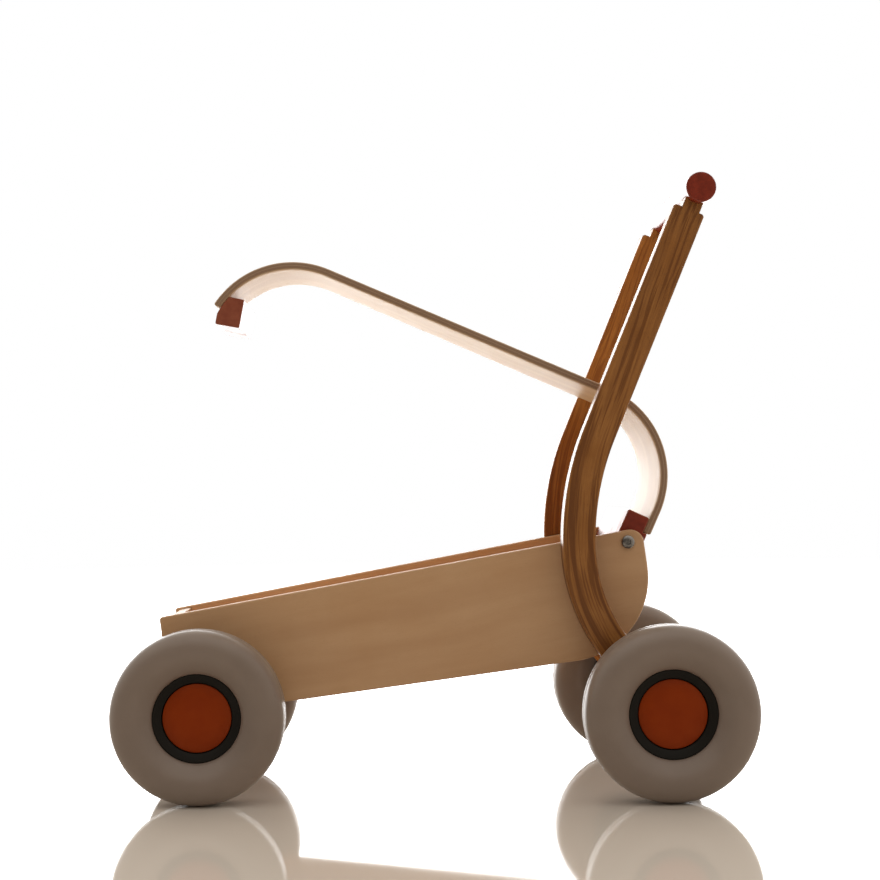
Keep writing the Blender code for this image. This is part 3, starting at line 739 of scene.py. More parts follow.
def fastener_tree():
    """Sets one fastener on each point, its head along the point's facing."""
    inputs = {"Points": GEOMETRY, "Fastener": OBJECT, "Material": MATERIAL}
    tree, given, result = shape_group("set_fasteners", inputs)
    facing = named_number(tree, "facing", "FLOAT_VECTOR")
    turn = add("FunctionNodeAlignRotationToVector", {"Vector": facing}, axis="Y")
    fastener = add("GeometryNodeObjectInfo", {"Object": given["Fastener"]}, "Geometry")
    wires = {"Points": given["Points"], "Instance": fastener, "Rotation": turn}
    close_tree(result, add("GeometryNodeInstanceOnPoints", wires), given["Material"])
    return tree


def rib_tree():
    """Stands thin ribs in a ring about the Y axis, between two radii and two depths."""
    inputs = {
        "Geometry": GEOMETRY,
        "Count": RIB_COUNT,
        "Inner Radius": HUB_TUBE_RADIUS,
        "Outer Radius": POCKET_RADIUS,
        "Thickness": RIB_THICKNESS,
        "Depth": RIB_DEPTH,
        "Floor": CORE_WEB,
        "Material": MATERIAL,
    }
    tree, given, result = shape_group("core_ribs", inputs)
    inner, outer, depth = given["Inner Radius"], given["Outer Radius"], given["Depth"]
    size = vector_of(outer - inner, depth, given["Thickness"])
    middle = vector_of((outer + inner) * 0.5, depth * -0.5 + given["Floor"], 0.0)
    rib = add("GeometryNodeMeshCube", {"Size": size}, "Mesh")
    rib = add("GeometryNodeTransform", {"Geometry": rib, "Translation": middle})
    points = add("GeometryNodeMeshLine", {"Count": given["Count"], "Offset": (0, 0, 0)})
    index = add("GeometryNodeInputIndex", {}, tree=tree)
    turn = vector_of(0.0, index / given["Count"] * math.tau, 0.0)
    turn = add("FunctionNodeEulerToRotation", {0: turn})
    ribs = add("GeometryNodeInstanceOnPoints", {"Points": points, "Instance": rib, "Rotation": turn})
    joined = add("GeometryNodeJoinGeometry", {0: given["Geometry"]})
    connect(joined.socket.node, {0: ribs})
    close_tree(result, joined, given["Material"])
    return tree


TURNED = turned_tree()
BENT = bent_tree()
FASTENED = fastener_tree()
RIBBED = rib_tree()


def grown(tree, name, mesh, *helpers, **values):
    """The plain mesh that a tree makes from a starting mesh and named inputs."""
    item = linked(name, mesh)
    modifier = item.modifiers.new(name, "NODES")
    modifier.node_group = tree
    for socket in tree.interface.items_tree:
        key = socket.name.lower().replace(" ", "_")
        if socket.in_out == "INPUT" and key in values:
            modifier[socket.identifier] = values[key]
    return plain_mesh(item, *helpers)


def loose_points(name, points, **numbers):
    """A mesh of points, with a number or a vector at each."""
    mesh = bpy.data.meshes.new(name)
    mesh.from_pydata([tuple(point) for point in points], [], [])
    for key, values in numbers.items():
        values = np.asarray(values, dtype=np.float32)
        kind, field = ("FLOAT", "value") if values.ndim == 1 else ("FLOAT_VECTOR", "vector")
        mesh.attributes.new(key, kind, "POINT").data.foreach_set(field, values.ravel())
    return mesh


def turned(name, profile, material, steps=ROD_STEPS):
    """Piece of revolution about Y; a profile that starts off the axis is closed on itself."""
    points = [(radius, y, 0.0) for radius, y in profile]
    if points[0][0] > 0:
        points.append(points[0])
    return closed_up(grown(TURNED, name, loose_points(name, points), steps=steps, material=material))


def rod(radius, low, high, steps=ROD_STEPS):
    """Plain round solid along Y, for boring holes."""
    solid = bmesh.new()
    bmesh.ops.create_cone(
        solid, cap_ends=True, segments=steps, radius1=radius, radius2=radius, depth=high - low
    )
    solid.transform(shifted((0, 0), (low + high) / 2) @ Matrix.Rotation(-QUARTER, 4, "X"))
    return to_mesh(solid, "rod")


def section_points(thickness, radius, columns):
    """Rounded section of a bent piece: points (share of width, extra width, off) and a mark at the edges."""
    points, worn = [], []
    half = thickness / 2 - radius
    rows = max(2, round(thickness / SECTION_STEP))
    for corner, (share, off) in enumerate([(1, 1), (-1, 1), (-1, -1), (1, -1)]):
        for step in range(EASE_STEPS + 1):
            angle = QUARTER * (corner + step / EASE_STEPS)
            points.append((share, radius * math.cos(angle), off * half + radius * math.sin(angle)))
            worn.append(1.0)
        broad = corner % 2 == 0
        for step in range(1, columns if broad else rows):
            if broad:
                points.append((share * (1 - 2 * step / columns), 0.0, off * thickness / 2))
            else:
                points.append((share, share * radius, off * (half - 2 * half * step / rows)))
            worn.append(0.0)
    return points, worn


def bent(name, line, y, half_widths, thickness, radius, columns, material):
    """Bent piece on stations (place, heading, share of thickness, loss of half-width)."""
    places, headings, thick, narrow = zip(*line)
    lengths = [(after - before).length for before, after in zip(places, places[1:])]
    reach = np.concatenate([[0.0], np.cumsum(lengths)])
    spots = [(place.x, y, place.y) for place in places]
    numbers = {"heading": headings, "reach": reach / reach[-1], "thick": thick, "narrow": narrow}
    points, worn = section_points(thickness, radius, columns)
    section = linked("section", loose_points("section", points, edge=worn))
    made = grown(
        BENT,
        name,
        loose_points(name, spots, **numbers),
        section,
        section=section,
        start_half_width=half_widths[0],
        end_half_width=half_widths[1],
        corner_radius=radius,
        material=material,
    )
    return closed_up(made)


# Shared surface effects

def noise(vector, scale, detail=2.0, roughness=0.5):
    """Cloudy noise from 0 to 1."""
    wires = {"Vector": vector, "Scale": scale, "Detail": detail, "Roughness": roughness}
    return add("ShaderNodeTexNoise", wires, "Fac")


def stretch(value, low, high, to_low=0.0, to_high=1.0):
    """A value's range spread to another, smoothly and without overshoot."""
    wires = {0: value, 1: low, 2: high, 3: to_low, 4: to_high}
    return add("ShaderNodeMapRange", wires, interpolation_type="SMOOTHSTEP")


def blended(factor, first, second, mode="MIX"):
    """Two colours mixed."""
    wires = {"Factor": factor, "A": first, "B": second}
    return add("ShaderNodeMix", wires, "Result", data_type="RGBA", blend_type=mode)


def layered(colour, *coats):
    """A colour under coats, each a mask, its strength, its tone and perhaps its way of mixing."""
    for mask, strength, tone, *mode in coats:
        colour = blended(mask if strength == 1 else mask * strength, colour, tone, *mode)
    return colour


def effect_group(name, inputs, outputs):
    """An empty shader group that puts out numbers."""
    return new_group(name, "ShaderNodeTree", inputs, outputs, NUMBERS[float])


def wood_grain_group():
    """Broad figure, fine fibres and short pores of wood, from metres along, across and into it."""
    inputs = {
        "Along": 0.0,
        "Across": 0.0,
        "Depth": 0.0,
        "Figure Width": 0.02,
        "Figure Length": 0.2,
        "Fibre Width": 0.0007,
        "Wander": 0.02,
    }
    tree, given, result = effect_group("wood_grain", inputs, ["Figure", "Fibre", "Pores"])
    along, across, depth, fibre = (given[name] for name in ("Along", "Across", "Depth", "Fibre Width"))
    wander = noise(vector_of(along, across, depth), WANDER_SCALE, 1.0)
    drift = (wander - 0.5) * given["Wander"]
    across = across + drift
    depth = depth + drift

    def streaks(width, length, detail, roughness):
        return noise(vector_of(along / length, across / width, depth / width), 1.0, detail, roughness)

    figure = streaks(given["Figure Width"], given["Figure Length"], 3.0, 0.55)
    fibres = streaks(fibre, fibre * FIBRE_LENGTH, 2.0, 0.6)
    pores = streaks(fibre * PORE_WIDTH, fibre * PORE_LENGTH, 1.0, 0.5)
    connect(
        result,
        {
            "Figure": stretch(figure, *NOISE_SPAN),
            "Fibre": stretch(fibres, *NOISE_SPAN),
            "Pores": stretch(pores, *PORE_SPAN),
        },
    )
    return tree


def ply_layers_group():
    """Veneers of plywood, counted by depth: every second one shows end grain, with a glue line between."""
    inputs = {"Depth": 0.0, "Veneer": 0.0014, "Layers": 7.0}
    tree, given, result = effect_group("ply_layers", inputs, ["End Grain", "Glue"])
    count = maths("MAXIMUM", given["Depth"] / given["Veneer"], 0.5)
    count = maths("MINIMUM", count, given["Layers"] - 0.5)
    part = maths("FRACT", count)
    second = maths("GREATER_THAN", maths("FRACT", count * 0.5), 0.5)
    from_line = maths("MINIMUM", part, 1.0 - part)
    connect(result, {"End Grain": second, "Glue": stretch(from_line, *GLUE_SPAN)})
    return tree


def edge_wear_group():
    """Where handling has rubbed the finish: strongest on the marked edges, broken up by noise."""
    inputs = {"Vector": VECTOR, "Edge": 0.0, "Amount": 0.5}
    tree, given, result = effect_group("edge_wear", inputs, ["Wear"])
    broken = noise(given["Vector"], RUB_SCALE, 4.0, 0.65)
    patches = noise(given["Vector"], RUB_PATCH_SCALE)
    rubbed = (broken + patches) * given["Edge"]
    low = RUB_START - given["Amount"]
    connect(result, {"Wear": stretch(rubbed, low, low + RUB_FADE)})
    return tree


def mottle_group():
    """Uneven tone of moulded or lacquered surfaces: clouds, fine specks and a few scuffs."""
    inputs = {"Vector": VECTOR, "Cloud Scale": 30.0, "Speck Scale": 2500.0}
    tree, given, result = effect_group("surface_mottle", inputs, ["Cloud", "Speck", "Scuff"])
    vector = given["Vector"]
    wires = {"Vector": vector, "Rotation": SCUFF_TURN, "Scale": SCUFF_SCALE}
    lines = noise(add("ShaderNodeMapping", wires), 1.0)
    zones = noise(vector, SCUFF_ZONE_SCALE, 1.0)
    connect(
        result,
        {
            "Cloud": stretch(noise(vector, given["Cloud Scale"], 3.0, 0.55), *NOISE_SPAN),
            "Speck": noise(vector, given["Speck Scale"], 1.0),
            "Scuff": stretch(lines, *SCUFF_SPAN) * stretch(zones, *SCUFF_ZONE_SPAN),
        },
    )
    return tree


WOOD_GRAIN = wood_grain_group()
PLY_LAYERS = ply_layers_group()
EDGE_WEAR = edge_wear_group()
MOTTLE = mottle_group()


def effect(group, **wires):
    """One use of a shared effect with its own values: its outputs by name."""
    wires = {name.replace("_", " ").title(): value for name, value in wires.items()}
    first = add("ShaderNodeGroup", wires, node_tree=group)
    return {socket.name: Signal(first.tree, socket) for socket in first.socket.node.outputs}


# Finishes

def new_finish(name):
    """An empty finish: its material, its shader, and object coordinates."""
    material = bpy.data.materials.new(name)
    material.use_nodes = True
    place = add("ShaderNodeTexCoord", {}, "Object", material.node_tree)
    return material, material.node_tree.nodes["Principled BSDF"], place


def read(place, *names):
    """Numbers stored on the piece."""
    return [add("ShaderNodeAttribute", {}, "Fac", place.tree, attribute_name=name) for name in names]


def grain_of(axes, figure, fibre, **more):
    """Wood grain on axes (along, across, depth), with a figure (width, length) and a fibre width."""
    along, across, depth = axes
    width, length = figure
    return effect(
        WOOD_GRAIN,
        along=along,
        across=across,
        depth=depth,
        figure_width=width,
        figure_length=length,
        fibre_width=fibre,
        **more,
    )


def worn_edges(place, amount):
    """Where a piece's marked edges are rubbed."""
    return effect(EDGE_WEAR, vector=place, edge=read(place, "edge")[0], amount=amount)["Wear"]


def finish_shader(shader, colour, roughness, relief, bump, specular=0.5, coat=(0.0, 0.03), metallic=0.0):
    """Wires a shader; bump is a height and a strength, coat a weight and a roughness."""
    wires = {"Height": relief, "Distance": bump[0], "Strength": bump[1]}
    connect(
        shader,
        {
            "Base Color": colour,
            "Roughness": roughness,
            "Normal": add("ShaderNodeBump", wires, "Normal"),
            "Specular IOR Level": specular,
            "Coat Weight": coat[0],
            "Coat Roughness": coat[1],
            "Metallic": metallic,
        },
    )


WARM_CLOUD = (0.93, 0.86, 0.76)
# Multiplier that darkens faces marked sawn: painted shade on the bow's edges
SAWN_EDGE_SHADE = (0.50, 0.46, 0.52)
RUBBER_SHADE = (0.80, 0.78, 0.76)
SCRATCH = (0.25, 0.24, 0.23)


def plywood(name, tones, sheet, layers, figure, roughness, shift=0.0, shine=0.5, back=1.0):
    """Varnished plywood: peeled face veneers, bare layers on the sawn edges, painted shade on faces marked
    sawn, and the back face painted lighter by back, as painted bounce light.
    """
    pale, dark, end_grain, glue = tones
    material, shader, place = new_finish(name)
    along, across, depth, sawn = read(place, "along", "across", "depth", "sawn")
    grain = grain_of((along, across, depth), figure, 0.0006)
    depth = depth + shift
    plies = effect(PLY_LAYERS, depth=depth, veneer=sheet / layers, layers=layers)
    cloud = effect(MOTTLE, vector=place, cloud_scale=11.0, speck_scale=1800.0)["Cloud"]
    colour = layered(
        pale,
        (grain["Figure"], 1, dark),
        (grain["Fibre"], 0.22, dark),
        (cloud, 0.55, WARM_CLOUD, "MULTIPLY"),
        (grain["Pores"], 0.35, end_grain),
        (plies["End Grain"], 0.7, blended(noise(place, END_GRAIN_SCALE, 2.0, 0.6), end_grain, dark)),
        (plies["Glue"], 0.6, glue),
        (worn_edges(place, 0.45), 0.2, end_grain),
        # Painted shade: faces marked sawn are darkened
        (sawn, 1, SAWN_EDGE_SHADE, "MULTIPLY"),
        # Painted bounce light: the sheet's back face is multiplied by back
        (stretch(depth, INNER_LIGHT_DEPTH * sheet, sheet), 1, (back, back, back), "MULTIPLY"),
    )
    rough = grain["Fibre"] * 0.12 + roughness + plies["End Grain"] * 0.15
    relief = grain["Fibre"] * 0.35 - grain["Pores"] - plies["Glue"]
    finish_shader(shader, colour, rough, relief, bump=(0.00012, 0.35), specular=shine, coat=(shine / 4, 0.25))
    return material


def bentwood(name, light, middle, dark, roughness=0.36):
    """Oiled bentwood: dark streaks and soft bands that follow the bend, with open pores and fine fibres."""
    material, shader, place = new_finish(name)
    along, across, depth = read(place, "along", "across", "depth")
    slant = maths("MAXIMUM", along - GRAIN_RUNOUT_START, 0.0) * GRAIN_RUNOUT + depth
    bands = grain_of((along, across * BAND_SQUEEZE, slant), (0.0044, 0.6), 0.0007, wander=0.005)
    lines = grain_of((along + LINE_SHIFT, across, slant), (0.0026, 0.11), 0.0005, wander=0.012)
    cloud = effect(MOTTLE, vector=place, cloud_scale=24.0, speck_scale=1800.0)["Cloud"]
    runout_end = GRAIN_RUNOUT_START + GRAIN_RUNOUT_FADE
    fading = stretch(along, GRAIN_RUNOUT_START, runout_end, *BAND_STRENGTH)
    colour = layered(
        light,
        (cloud, 1, middle),
        (stretch(bands["Figure"], 0.2, 0.7), fading, dark),
        (stretch(lines["Figure"], 0.48, 0.9), 0.8, dark),
        (lines["Fibre"], 0.25, dark),
        (bands["Pores"], 0.5, dark),
        (worn_edges(place, 0.5), 0.35, light),
    )
    rough = bands["Figure"] * 0.12 + roughness
    relief = lines["Fibre"] * 0.4 - bands["Pores"]
    finish_shader(shader, colour, rough, relief, bump=(0.00014, 0.4), specular=0.35, coat=(0.1, 0.3))
    return material


def lacquered(name, coat, deep, worn, roughness):
    """Red lacquer on turned and planed beech: the grain shows through, and edges are rubbed paler."""
    material, shader, place = new_finish(name)
    x, y, z = split(place)
    grain = grain_of((y, x, z), (0.006, 0.12), 0.0006)
    mottle = effect(MOTTLE, vector=place, cloud_scale=40.0, speck_scale=900.0)
    wear = worn_edges(place, 0.62)
    colour = layered(
        coat,
        (grain["Figure"], 0.75, deep),
        (grain["Pores"], 0.5, deep),
        (mottle["Scuff"], 0.3, worn),
        (wear, 0.6, worn),
    )
    rough = mottle["Cloud"] * 0.12 + roughness + wear * 0.2
    relief = mottle["Speck"] * 0.25 + grain["Fibre"] * 0.5
    finish_shader(shader, colour, rough, relief, bump=(0.00008, 0.3), specular=0.3, coat=(0.15, 0.2))
    return material


def rubber(name, clean, dusty, roughness):
    """Soft grey tyre rubber: a fine matt skin, cloudy tone, and floor dust worn onto the tread."""
    material, shader, place = new_finish(name)
    shade = tuple(tone * dimmed for tone, dimmed in zip(clean, RUBBER_SHADE))
    mottle = effect(MOTTLE, vector=place, cloud_scale=26.0, speck_scale=2600.0)
    radius = read(place, "radius")[0]
    tread = stretch(radius, WHEEL_RADIUS - TREAD_BAND, WHEEL_RADIUS)
    dust = tread * stretch(noise(place, DUST_SCALE, 4.0, 0.6), *DUST_SPAN)
    # Painted shade: the tyre darkens towards the crease where it meets the rim
    seat = stretch(radius, *(RIM_RADIUS + band for band in RIM_CREASE_SHADE_BAND))
    colour = layered(
        clean,
        (mottle["Cloud"], 0.35, shade),
        (mottle["Speck"], 0.12, dusty),
        (dust, 0.5, dusty),
        (mottle["Scuff"], 0.35, shade),
        (seat, 0.5, shade),
    )
    rough = mottle["Cloud"] * 0.1 + roughness + dust * 0.15
    relief = mottle["Scuff"] * -0.6 + mottle["Speck"]
    finish_shader(shader, colour, rough, relief, bump=(0.00008, 0.35), coat=(0.5, 0.28))
    return material


def moulded(name, body, shade, scuffed, roughness=0.42, speck_scale=1500.0, relief_height=0.00003):
    """Moulded plastic: a fine spark-eroded skin, slight flow clouds and a few scuffs."""
    material, shader, place = new_finish(name)
    mottle = effect(MOTTLE, vector=place, cloud_scale=45.0, speck_scale=speck_scale)
    colour = layered(body, (mottle["Cloud"], 0.5, shade), (mottle["Scuff"], 0.4, scuffed))
    rough = mottle["Cloud"] * 0.1 + roughness + mottle["Scuff"] * 0.15
    relief = mottle["Scuff"] * -0.5 + mottle["Speck"]
    finish_shader(shader, colour, rough, relief, bump=(relief_height, 0.3), specular=0.12)
    return material


def zinc_steel(name, bright, dull, roughness):
    """Zinc-plated steel: spangled tone, fine scratches and dull patches."""
    material, shader, place = new_finish(name)
    mottle = effect(MOTTLE, vector=place, cloud_scale=160.0, speck_scale=3000.0)
    colour = layered(bright, (mottle["Cloud"], 1, dull), (mottle["Scuff"], 0.5, SCRATCH))
    rough = mottle["Cloud"] * 0.18 + roughness
    finish_shader(shader, colour, rough, mottle["Speck"], bump=(0.00003, 0.25), metallic=1.0)
    return material


# Tones of each wood: two of its face, its end grain and its glue
BIRCH = (0.63, 0.395, 0.215), (0.55, 0.325, 0.168), (0.38, 0.21, 0.098), (0.17, 0.085, 0.04)
# The bow's face tones are the panel birch painted lighter, as painted back light on the strip; its end grain
# and glue are the panel's
BACKLIT_BOW_BIRCH = (0.82, 0.61, 0.365), (0.72, 0.515, 0.295), *BIRCH[2:]
PALE_BEECH, DARK_BEECH = (0.53, 0.33, 0.19), (0.44, 0.26, 0.14)
BEECH = PALE_BEECH, DARK_BEECH, DARK_BEECH, DARK_BEECH

# back=1.3 paints the panels' inner faces lighter than their outer faces: painted bounce light
panel_ply = plywood(
    "birch_panel", BIRCH, PANEL_THICKNESS, layers=7, figure=(0.035, 0.30), roughness=0.42, back=1.3
)
board_ply = plywood("birch_board", BIRCH, PANEL_THICKNESS, layers=7, figure=(0.025, 0.20), roughness=0.45)
floor_ply = plywood("birch_floor", BIRCH, FLOOR_THICKNESS, layers=5, figure=(0.030, 0.26), roughness=0.45)
bow_ply = plywood(
    "bow_birch",
    BACKLIT_BOW_BIRCH,
    STRIP_THICKNESS,
    layers=5,
    figure=(0.026, 0.30),
    roughness=0.42,
    shift=STRIP_THICKNESS / 2,
    shine=0.36,
)
beam_wood = plywood("beech_beam", BEECH, 1.0, layers=1, figure=(0.010, 0.10), roughness=0.48, shift=0.5)
upright_woods = {
    "left": bentwood("bentwood_brown", (0.38, 0.16, 0.038), (0.31, 0.12, 0.022), (0.155, 0.049, 0.005)),
    "right": bentwood("bentwood_amber", (0.53, 0.21, 0.042), (0.44, 0.16, 0.026), (0.26, 0.08, 0.009)),
}
red_lacquer = lacquered(
    "red_lacquer_finish", (0.26, 0.031, 0.012), (0.17, 0.018, 0.006), (0.38, 0.13, 0.07), roughness=0.3
)
# A paler, browner copy of the red lacquer for the front bar: painted light standing in for glare
glare_lit_lacquer = lacquered(
    "rubbed_red_lacquer", (0.31, 0.085, 0.042), (0.23, 0.05, 0.025), (0.42, 0.19, 0.12), roughness=0.34
)
tyre_rubber = rubber("tyre_skin", (0.232, 0.176, 0.140), (0.32, 0.265, 0.215), roughness=0.62)
core_plastic = moulded(
    "core_black",
    (0.011, 0.010, 0.008),
    (0.016, 0.014, 0.011),
    (0.05, 0.045, 0.04),
    speck_scale=1900.0,
    relief_height=0.00006,
)
cap_plastic = moulded("cap_orange", (0.29, 0.037, 0.002), (0.235, 0.027, 0.0015), (0.36, 0.10, 0.04))
nylon = moulded("bush_nylon", (0.72, 0.70, 0.64), (0.62, 0.60, 0.54), (0.4, 0.38, 0.33), roughness=0.45)
steel = zinc_steel("zinc_plate", (0.58, 0.58, 0.57), (0.40, 0.40, 0.41), roughness=0.24)
bolt_steel = zinc_steel("bolt_steel", (0.30, 0.29, 0.275), (0.17, 0.165, 0.16), roughness=0.14)


# Box

FRONT_TONGUE = FRONT_BOARD[0] + TONGUE_REBATE, FRONT_BOARD[1]
REAR_TONGUE = REAR_BOARD[0], REAR_BOARD[1] - TONGUE_REBATE
FLOOR_ALONG = FRONT_BOARD[1] + GAP, REAR_BOARD[0] - GAP
FLOOR_HEIGHTS = FLOOR_RAISE, FLOOR_RAISE + FLOOR_THICKNESS
FLOOR_TONGUE = FLOOR_RAISE, FLOOR_RAISE + FLOOR_THICKNESS - TONGUE_REBATE
CLEAR = PANEL_THICKNESS


def board_outline(along, drop, raised):
    """Side outline of an upright board, between a drop from the top edge and a height off the lower."""
    front, back = along
    top = [on_panel(front, drop), on_panel(back, drop)]
    return top + [bottom_edge(back, raised), bottom_edge(front, raised)]


def floor_outline(along, heights):
    """Side outline of a board that lies along the panels' lower edge, between two heights above it."""
    (front, back), (low, high) = along, heights
    lower = [bottom_edge(front, low), bottom_edge(back, low)]
    return lower + [bottom_edge(back, high), bottom_edge(front, high)]


def screw_holes(places, length):
    """Clearance for countersunk screws, open above their heads."""
    head, shank = SCREW_HEAD_RADIUS + GAP, SCREW_SHANK_RADIUS + GAP
    profile = [
        (0, SCREW_HEAD_DEPTH),
        (head, SCREW_HEAD_DEPTH),
        (head, -SCREW_SINK - GAP),
        (shank, -SCREW_HEAD_DEPTH - GAP),
        (shank, -length - GAP),
        (0, -length - GAP),
    ]
    return [
        placed(turned("screw_hole", profile, steel, SCREW_STEPS), facing_matrix(*place)) for place in places
    ]


def upright_screw_places(side):
    """Heads of the two screws that hold an upright, on the panel's inner face."""
    radius = UPRIGHT_LOWER_BEND[0]
    bend = centre_line(REAR_AXLE, UPRIGHT_START, [(UPRIGHT_FOOT_RUN, 0), UPRIGHT_LOWER_BEND])
    centre = bend[-1][0] + Vector((radius, 0))
    places = []
    for turn in UPRIGHT_SCREW_TURNS:
        spot = centre + radius * direction(math.pi + turn)
        inner = half_width(spot.x) - PANEL_THICKNESS + SCREW_SINK
        places.append((Vector((spot.x, side * inner, spot.y)), Vector((0, -side, 0))))
    return places


def make_panels():
    """The side panels, with housings for the boards, a seat for the beam, the pivot bore and screw holes."""
    outline = rounded(
        [
            (*on_panel(0, 0), FRONT_CORNER_RADIUS),
            (*on_panel(PANEL_LENGTH, 0), REAR_CORNER_RADIUS),
            (*square_end(PANEL_LENGTH), REAR_ARC_RADIUS),
            (*square_end(0), FRONT_CORNER_RADIUS),
        ]
    )
    housings = [
        floor_outline(widened(FLOOR_ALONG, GAP), widened(FLOOR_TONGUE, GAP)),
        board_outline(widened(FRONT_TONGUE, GAP), FRONT_BOARD_DROP - GAP, FLOOR_RAISE - GAP),
        board_outline(widened(REAR_TONGUE, GAP), REAR_BOARD_DROP - GAP, FLOOR_RAISE - GAP),
    ]
    seat = floor_outline((-BEAM_WIDTH, AXLE_ALONG + BEAM_WIDTH / 2 + GAP), (-BEAM_WIDTH, FLOOR_RAISE))
    for name, side in SIDES.items():
        mesh = planed(f"{name}_panel", outline, splayed(side, PANEL_THICKNESS), splayed(side, 0), EASE)
        inside = splayed(side, PANEL_THICKNESS * 2)
        reach = splayed(side, PANEL_THICKNESS - HOUSING_DEPTH - GAP)
        waste = [cutter(housing, inside, reach) for housing in housings]
        waste.append(cutter(seat, inside, splayed(side, -PANEL_THICKNESS)))
        bore = rod(BOLT_BORE, -PANEL_THICKNESS * 2, PANEL_THICKNESS * 2)
        waste.append(placed(bore, shifted(PIVOT, side * PIVOT_HALF_WIDTH)))
        waste += screw_holes(upright_screw_places(side), UPRIGHT_SCREW_LENGTH)
        mesh = closed_up(carved(mesh, waste))
        x, y, z = coordinates(mesh).T
        write_numbers(
            mesh,
            along=x * PANEL_RUN.x + y * GRAIN_TILT * side + z * PANEL_RUN.y,
            across=x * PANEL_UP.x + z * PANEL_UP.y,
            depth=half_width(x) - np.abs(y),
        )
        finish_piece(f"{name}_panel", mesh, panel_ply, "frame", "birch_plywood", f"side_panel_{name}")


def beam_screw_places():
    """Heads of the two screws that hold the axle beam, on the floor."""
    head = bottom_edge(AXLE_ALONG, FLOOR_RAISE + FLOOR_THICKNESS - SCREW_SINK)
    outward = Vector((FLOOR_UP.x, 0, FLOOR_UP.y))
    return [(Vector((head.x, side * BEAM_SCREW_SPREAD / 2, head.y)), outward) for side in SIDES.values()]


def make_boards():
    """Floor, front and rear boards with their end tongues."""
    boards = {
        "floor": (
            floor_outline(FLOOR_ALONG, FLOOR_HEIGHTS),
            floor_outline(widened(FLOOR_ALONG, CLEAR), (FLOOR_TONGUE[1], FLOOR_TONGUE[1] + CLEAR)),
            bottom_edge(0, FLOOR_RAISE),
        ),
        "front": (
            board_outline(FRONT_BOARD, FRONT_BOARD_DROP, FLOOR_RAISE),
            board_outline(
                (FRONT_TONGUE[0] - CLEAR, FRONT_TONGUE[0]), FRONT_BOARD_DROP - CLEAR, FLOOR_RAISE - CLEAR
            ),
            on_panel(FRONT_BOARD[0], 0),
        ),
        "rear": (
            board_outline(REAR_BOARD, REAR_BOARD_DROP, FLOOR_RAISE),
            board_outline(
                (REAR_TONGUE[1], REAR_TONGUE[1] + CLEAR), REAR_BOARD_DROP - CLEAR, FLOOR_RAISE - CLEAR
            ),
            on_panel(REAR_BOARD[0], 0),
        ),
    }
    inset = PANEL_THICKNESS - HOUSING_DEPTH + GAP
    for board, (outline, rebate, corner) in boards.items():
        mesh = planed(f"box_{board}", outline, splayed(-1, inset), splayed(1, inset), EASE / 2)
        waste = [
            cutter(rebate, splayed(side, PANEL_THICKNESS + GAP), splayed(side, 0)) for side in SIDES.values()
        ]
        if board == "floor":
            waste += screw_holes(beam_screw_places(), BEAM_SCREW_LENGTH)
        mesh = carved(mesh, waste)
        x, y, z = coordinates(mesh).T
        from_corner = x - corner.x, z - corner.y
        if board == "floor":
            ply = floor_ply
            along, across = x * FLOOR_RUN.x + z * FLOOR_RUN.y, y
            depth = from_corner[1] * FLOOR_RUN.x - from_corner[0] * FLOOR_RUN.y
        else:
            ply = board_ply
            along, across = y, x * PANEL_UP.x + z * PANEL_UP.y
            depth = from_corner[0] * PANEL_RUN.x + from_corner[1] * PANEL_RUN.y
        write_numbers(mesh, along=along, across=across, depth=depth)
        finish_piece(f"box_{board}", mesh, ply, "frame", "birch_plywood", f"{board}_board")


def make_beam():
    """Beam under the floor that carries the front axle."""
    front, back = AXLE_ALONG - BEAM_WIDTH / 2, AXLE_ALONG + BEAM_WIDTH / 2
    outline = rounded(
        [
            (*bottom_edge(front, FLOOR_RAISE - GAP), EASE),
            (*bottom_edge(back, FLOOR_RAISE - GAP), EASE),
            (*bottom_edge(back, -BEAM_DROP), BEAM_CORNER_RADIUS),
            (*bottom_edge(front, -BEAM_DROP), BEAM_CORNER_RADIUS),
        ]
    )
    mesh = planed("axle_beam", outline, flat(-BEAM_HALF_LENGTH), flat(BEAM_HALF_LENGTH), EASE / 2)
    reach = BEAM_HALF_LENGTH * 2
    bore = placed(rod(AXLE_RADIUS + GAP, -reach, reach), shifted(FRONT_AXLE))
    mesh = carved(mesh, [bore] + screw_holes(beam_screw_places(), BEAM_SCREW_LENGTH))
    x, y, z = coordinates(mesh).T
    write_numbers(
        mesh,
        along=y,
        across=x * PANEL_UP.x + z * PANEL_UP.y,
        depth=x * PANEL_RUN.x + z * PANEL_RUN.y,
    )
    finish_piece("axle_beam", mesh, beam_wood, "frame", "beech", "front_axle_beam")


# Uprights and push bar

UPRIGHT_MOVES = [(UPRIGHT_FOOT_RUN, 0), UPRIGHT_LOWER_BEND, UPRIGHT_UPPER_BEND, (UPRIGHT_TOP_RUN, 0)]
UPRIGHT_BENDS = centre_line(REAR_AXLE, UPRIGHT_START, UPRIGHT_MOVES)
SHOULDER, TENON_HEADING = UPRIGHT_BENDS[-1]
TENON_UP = direction(TENON_HEADING)
TENON_BACK = direction(TENON_HEADING - QUARTER)
TENON_FOOT = SHOULDER + TENON_OFFSET * TENON_BACK


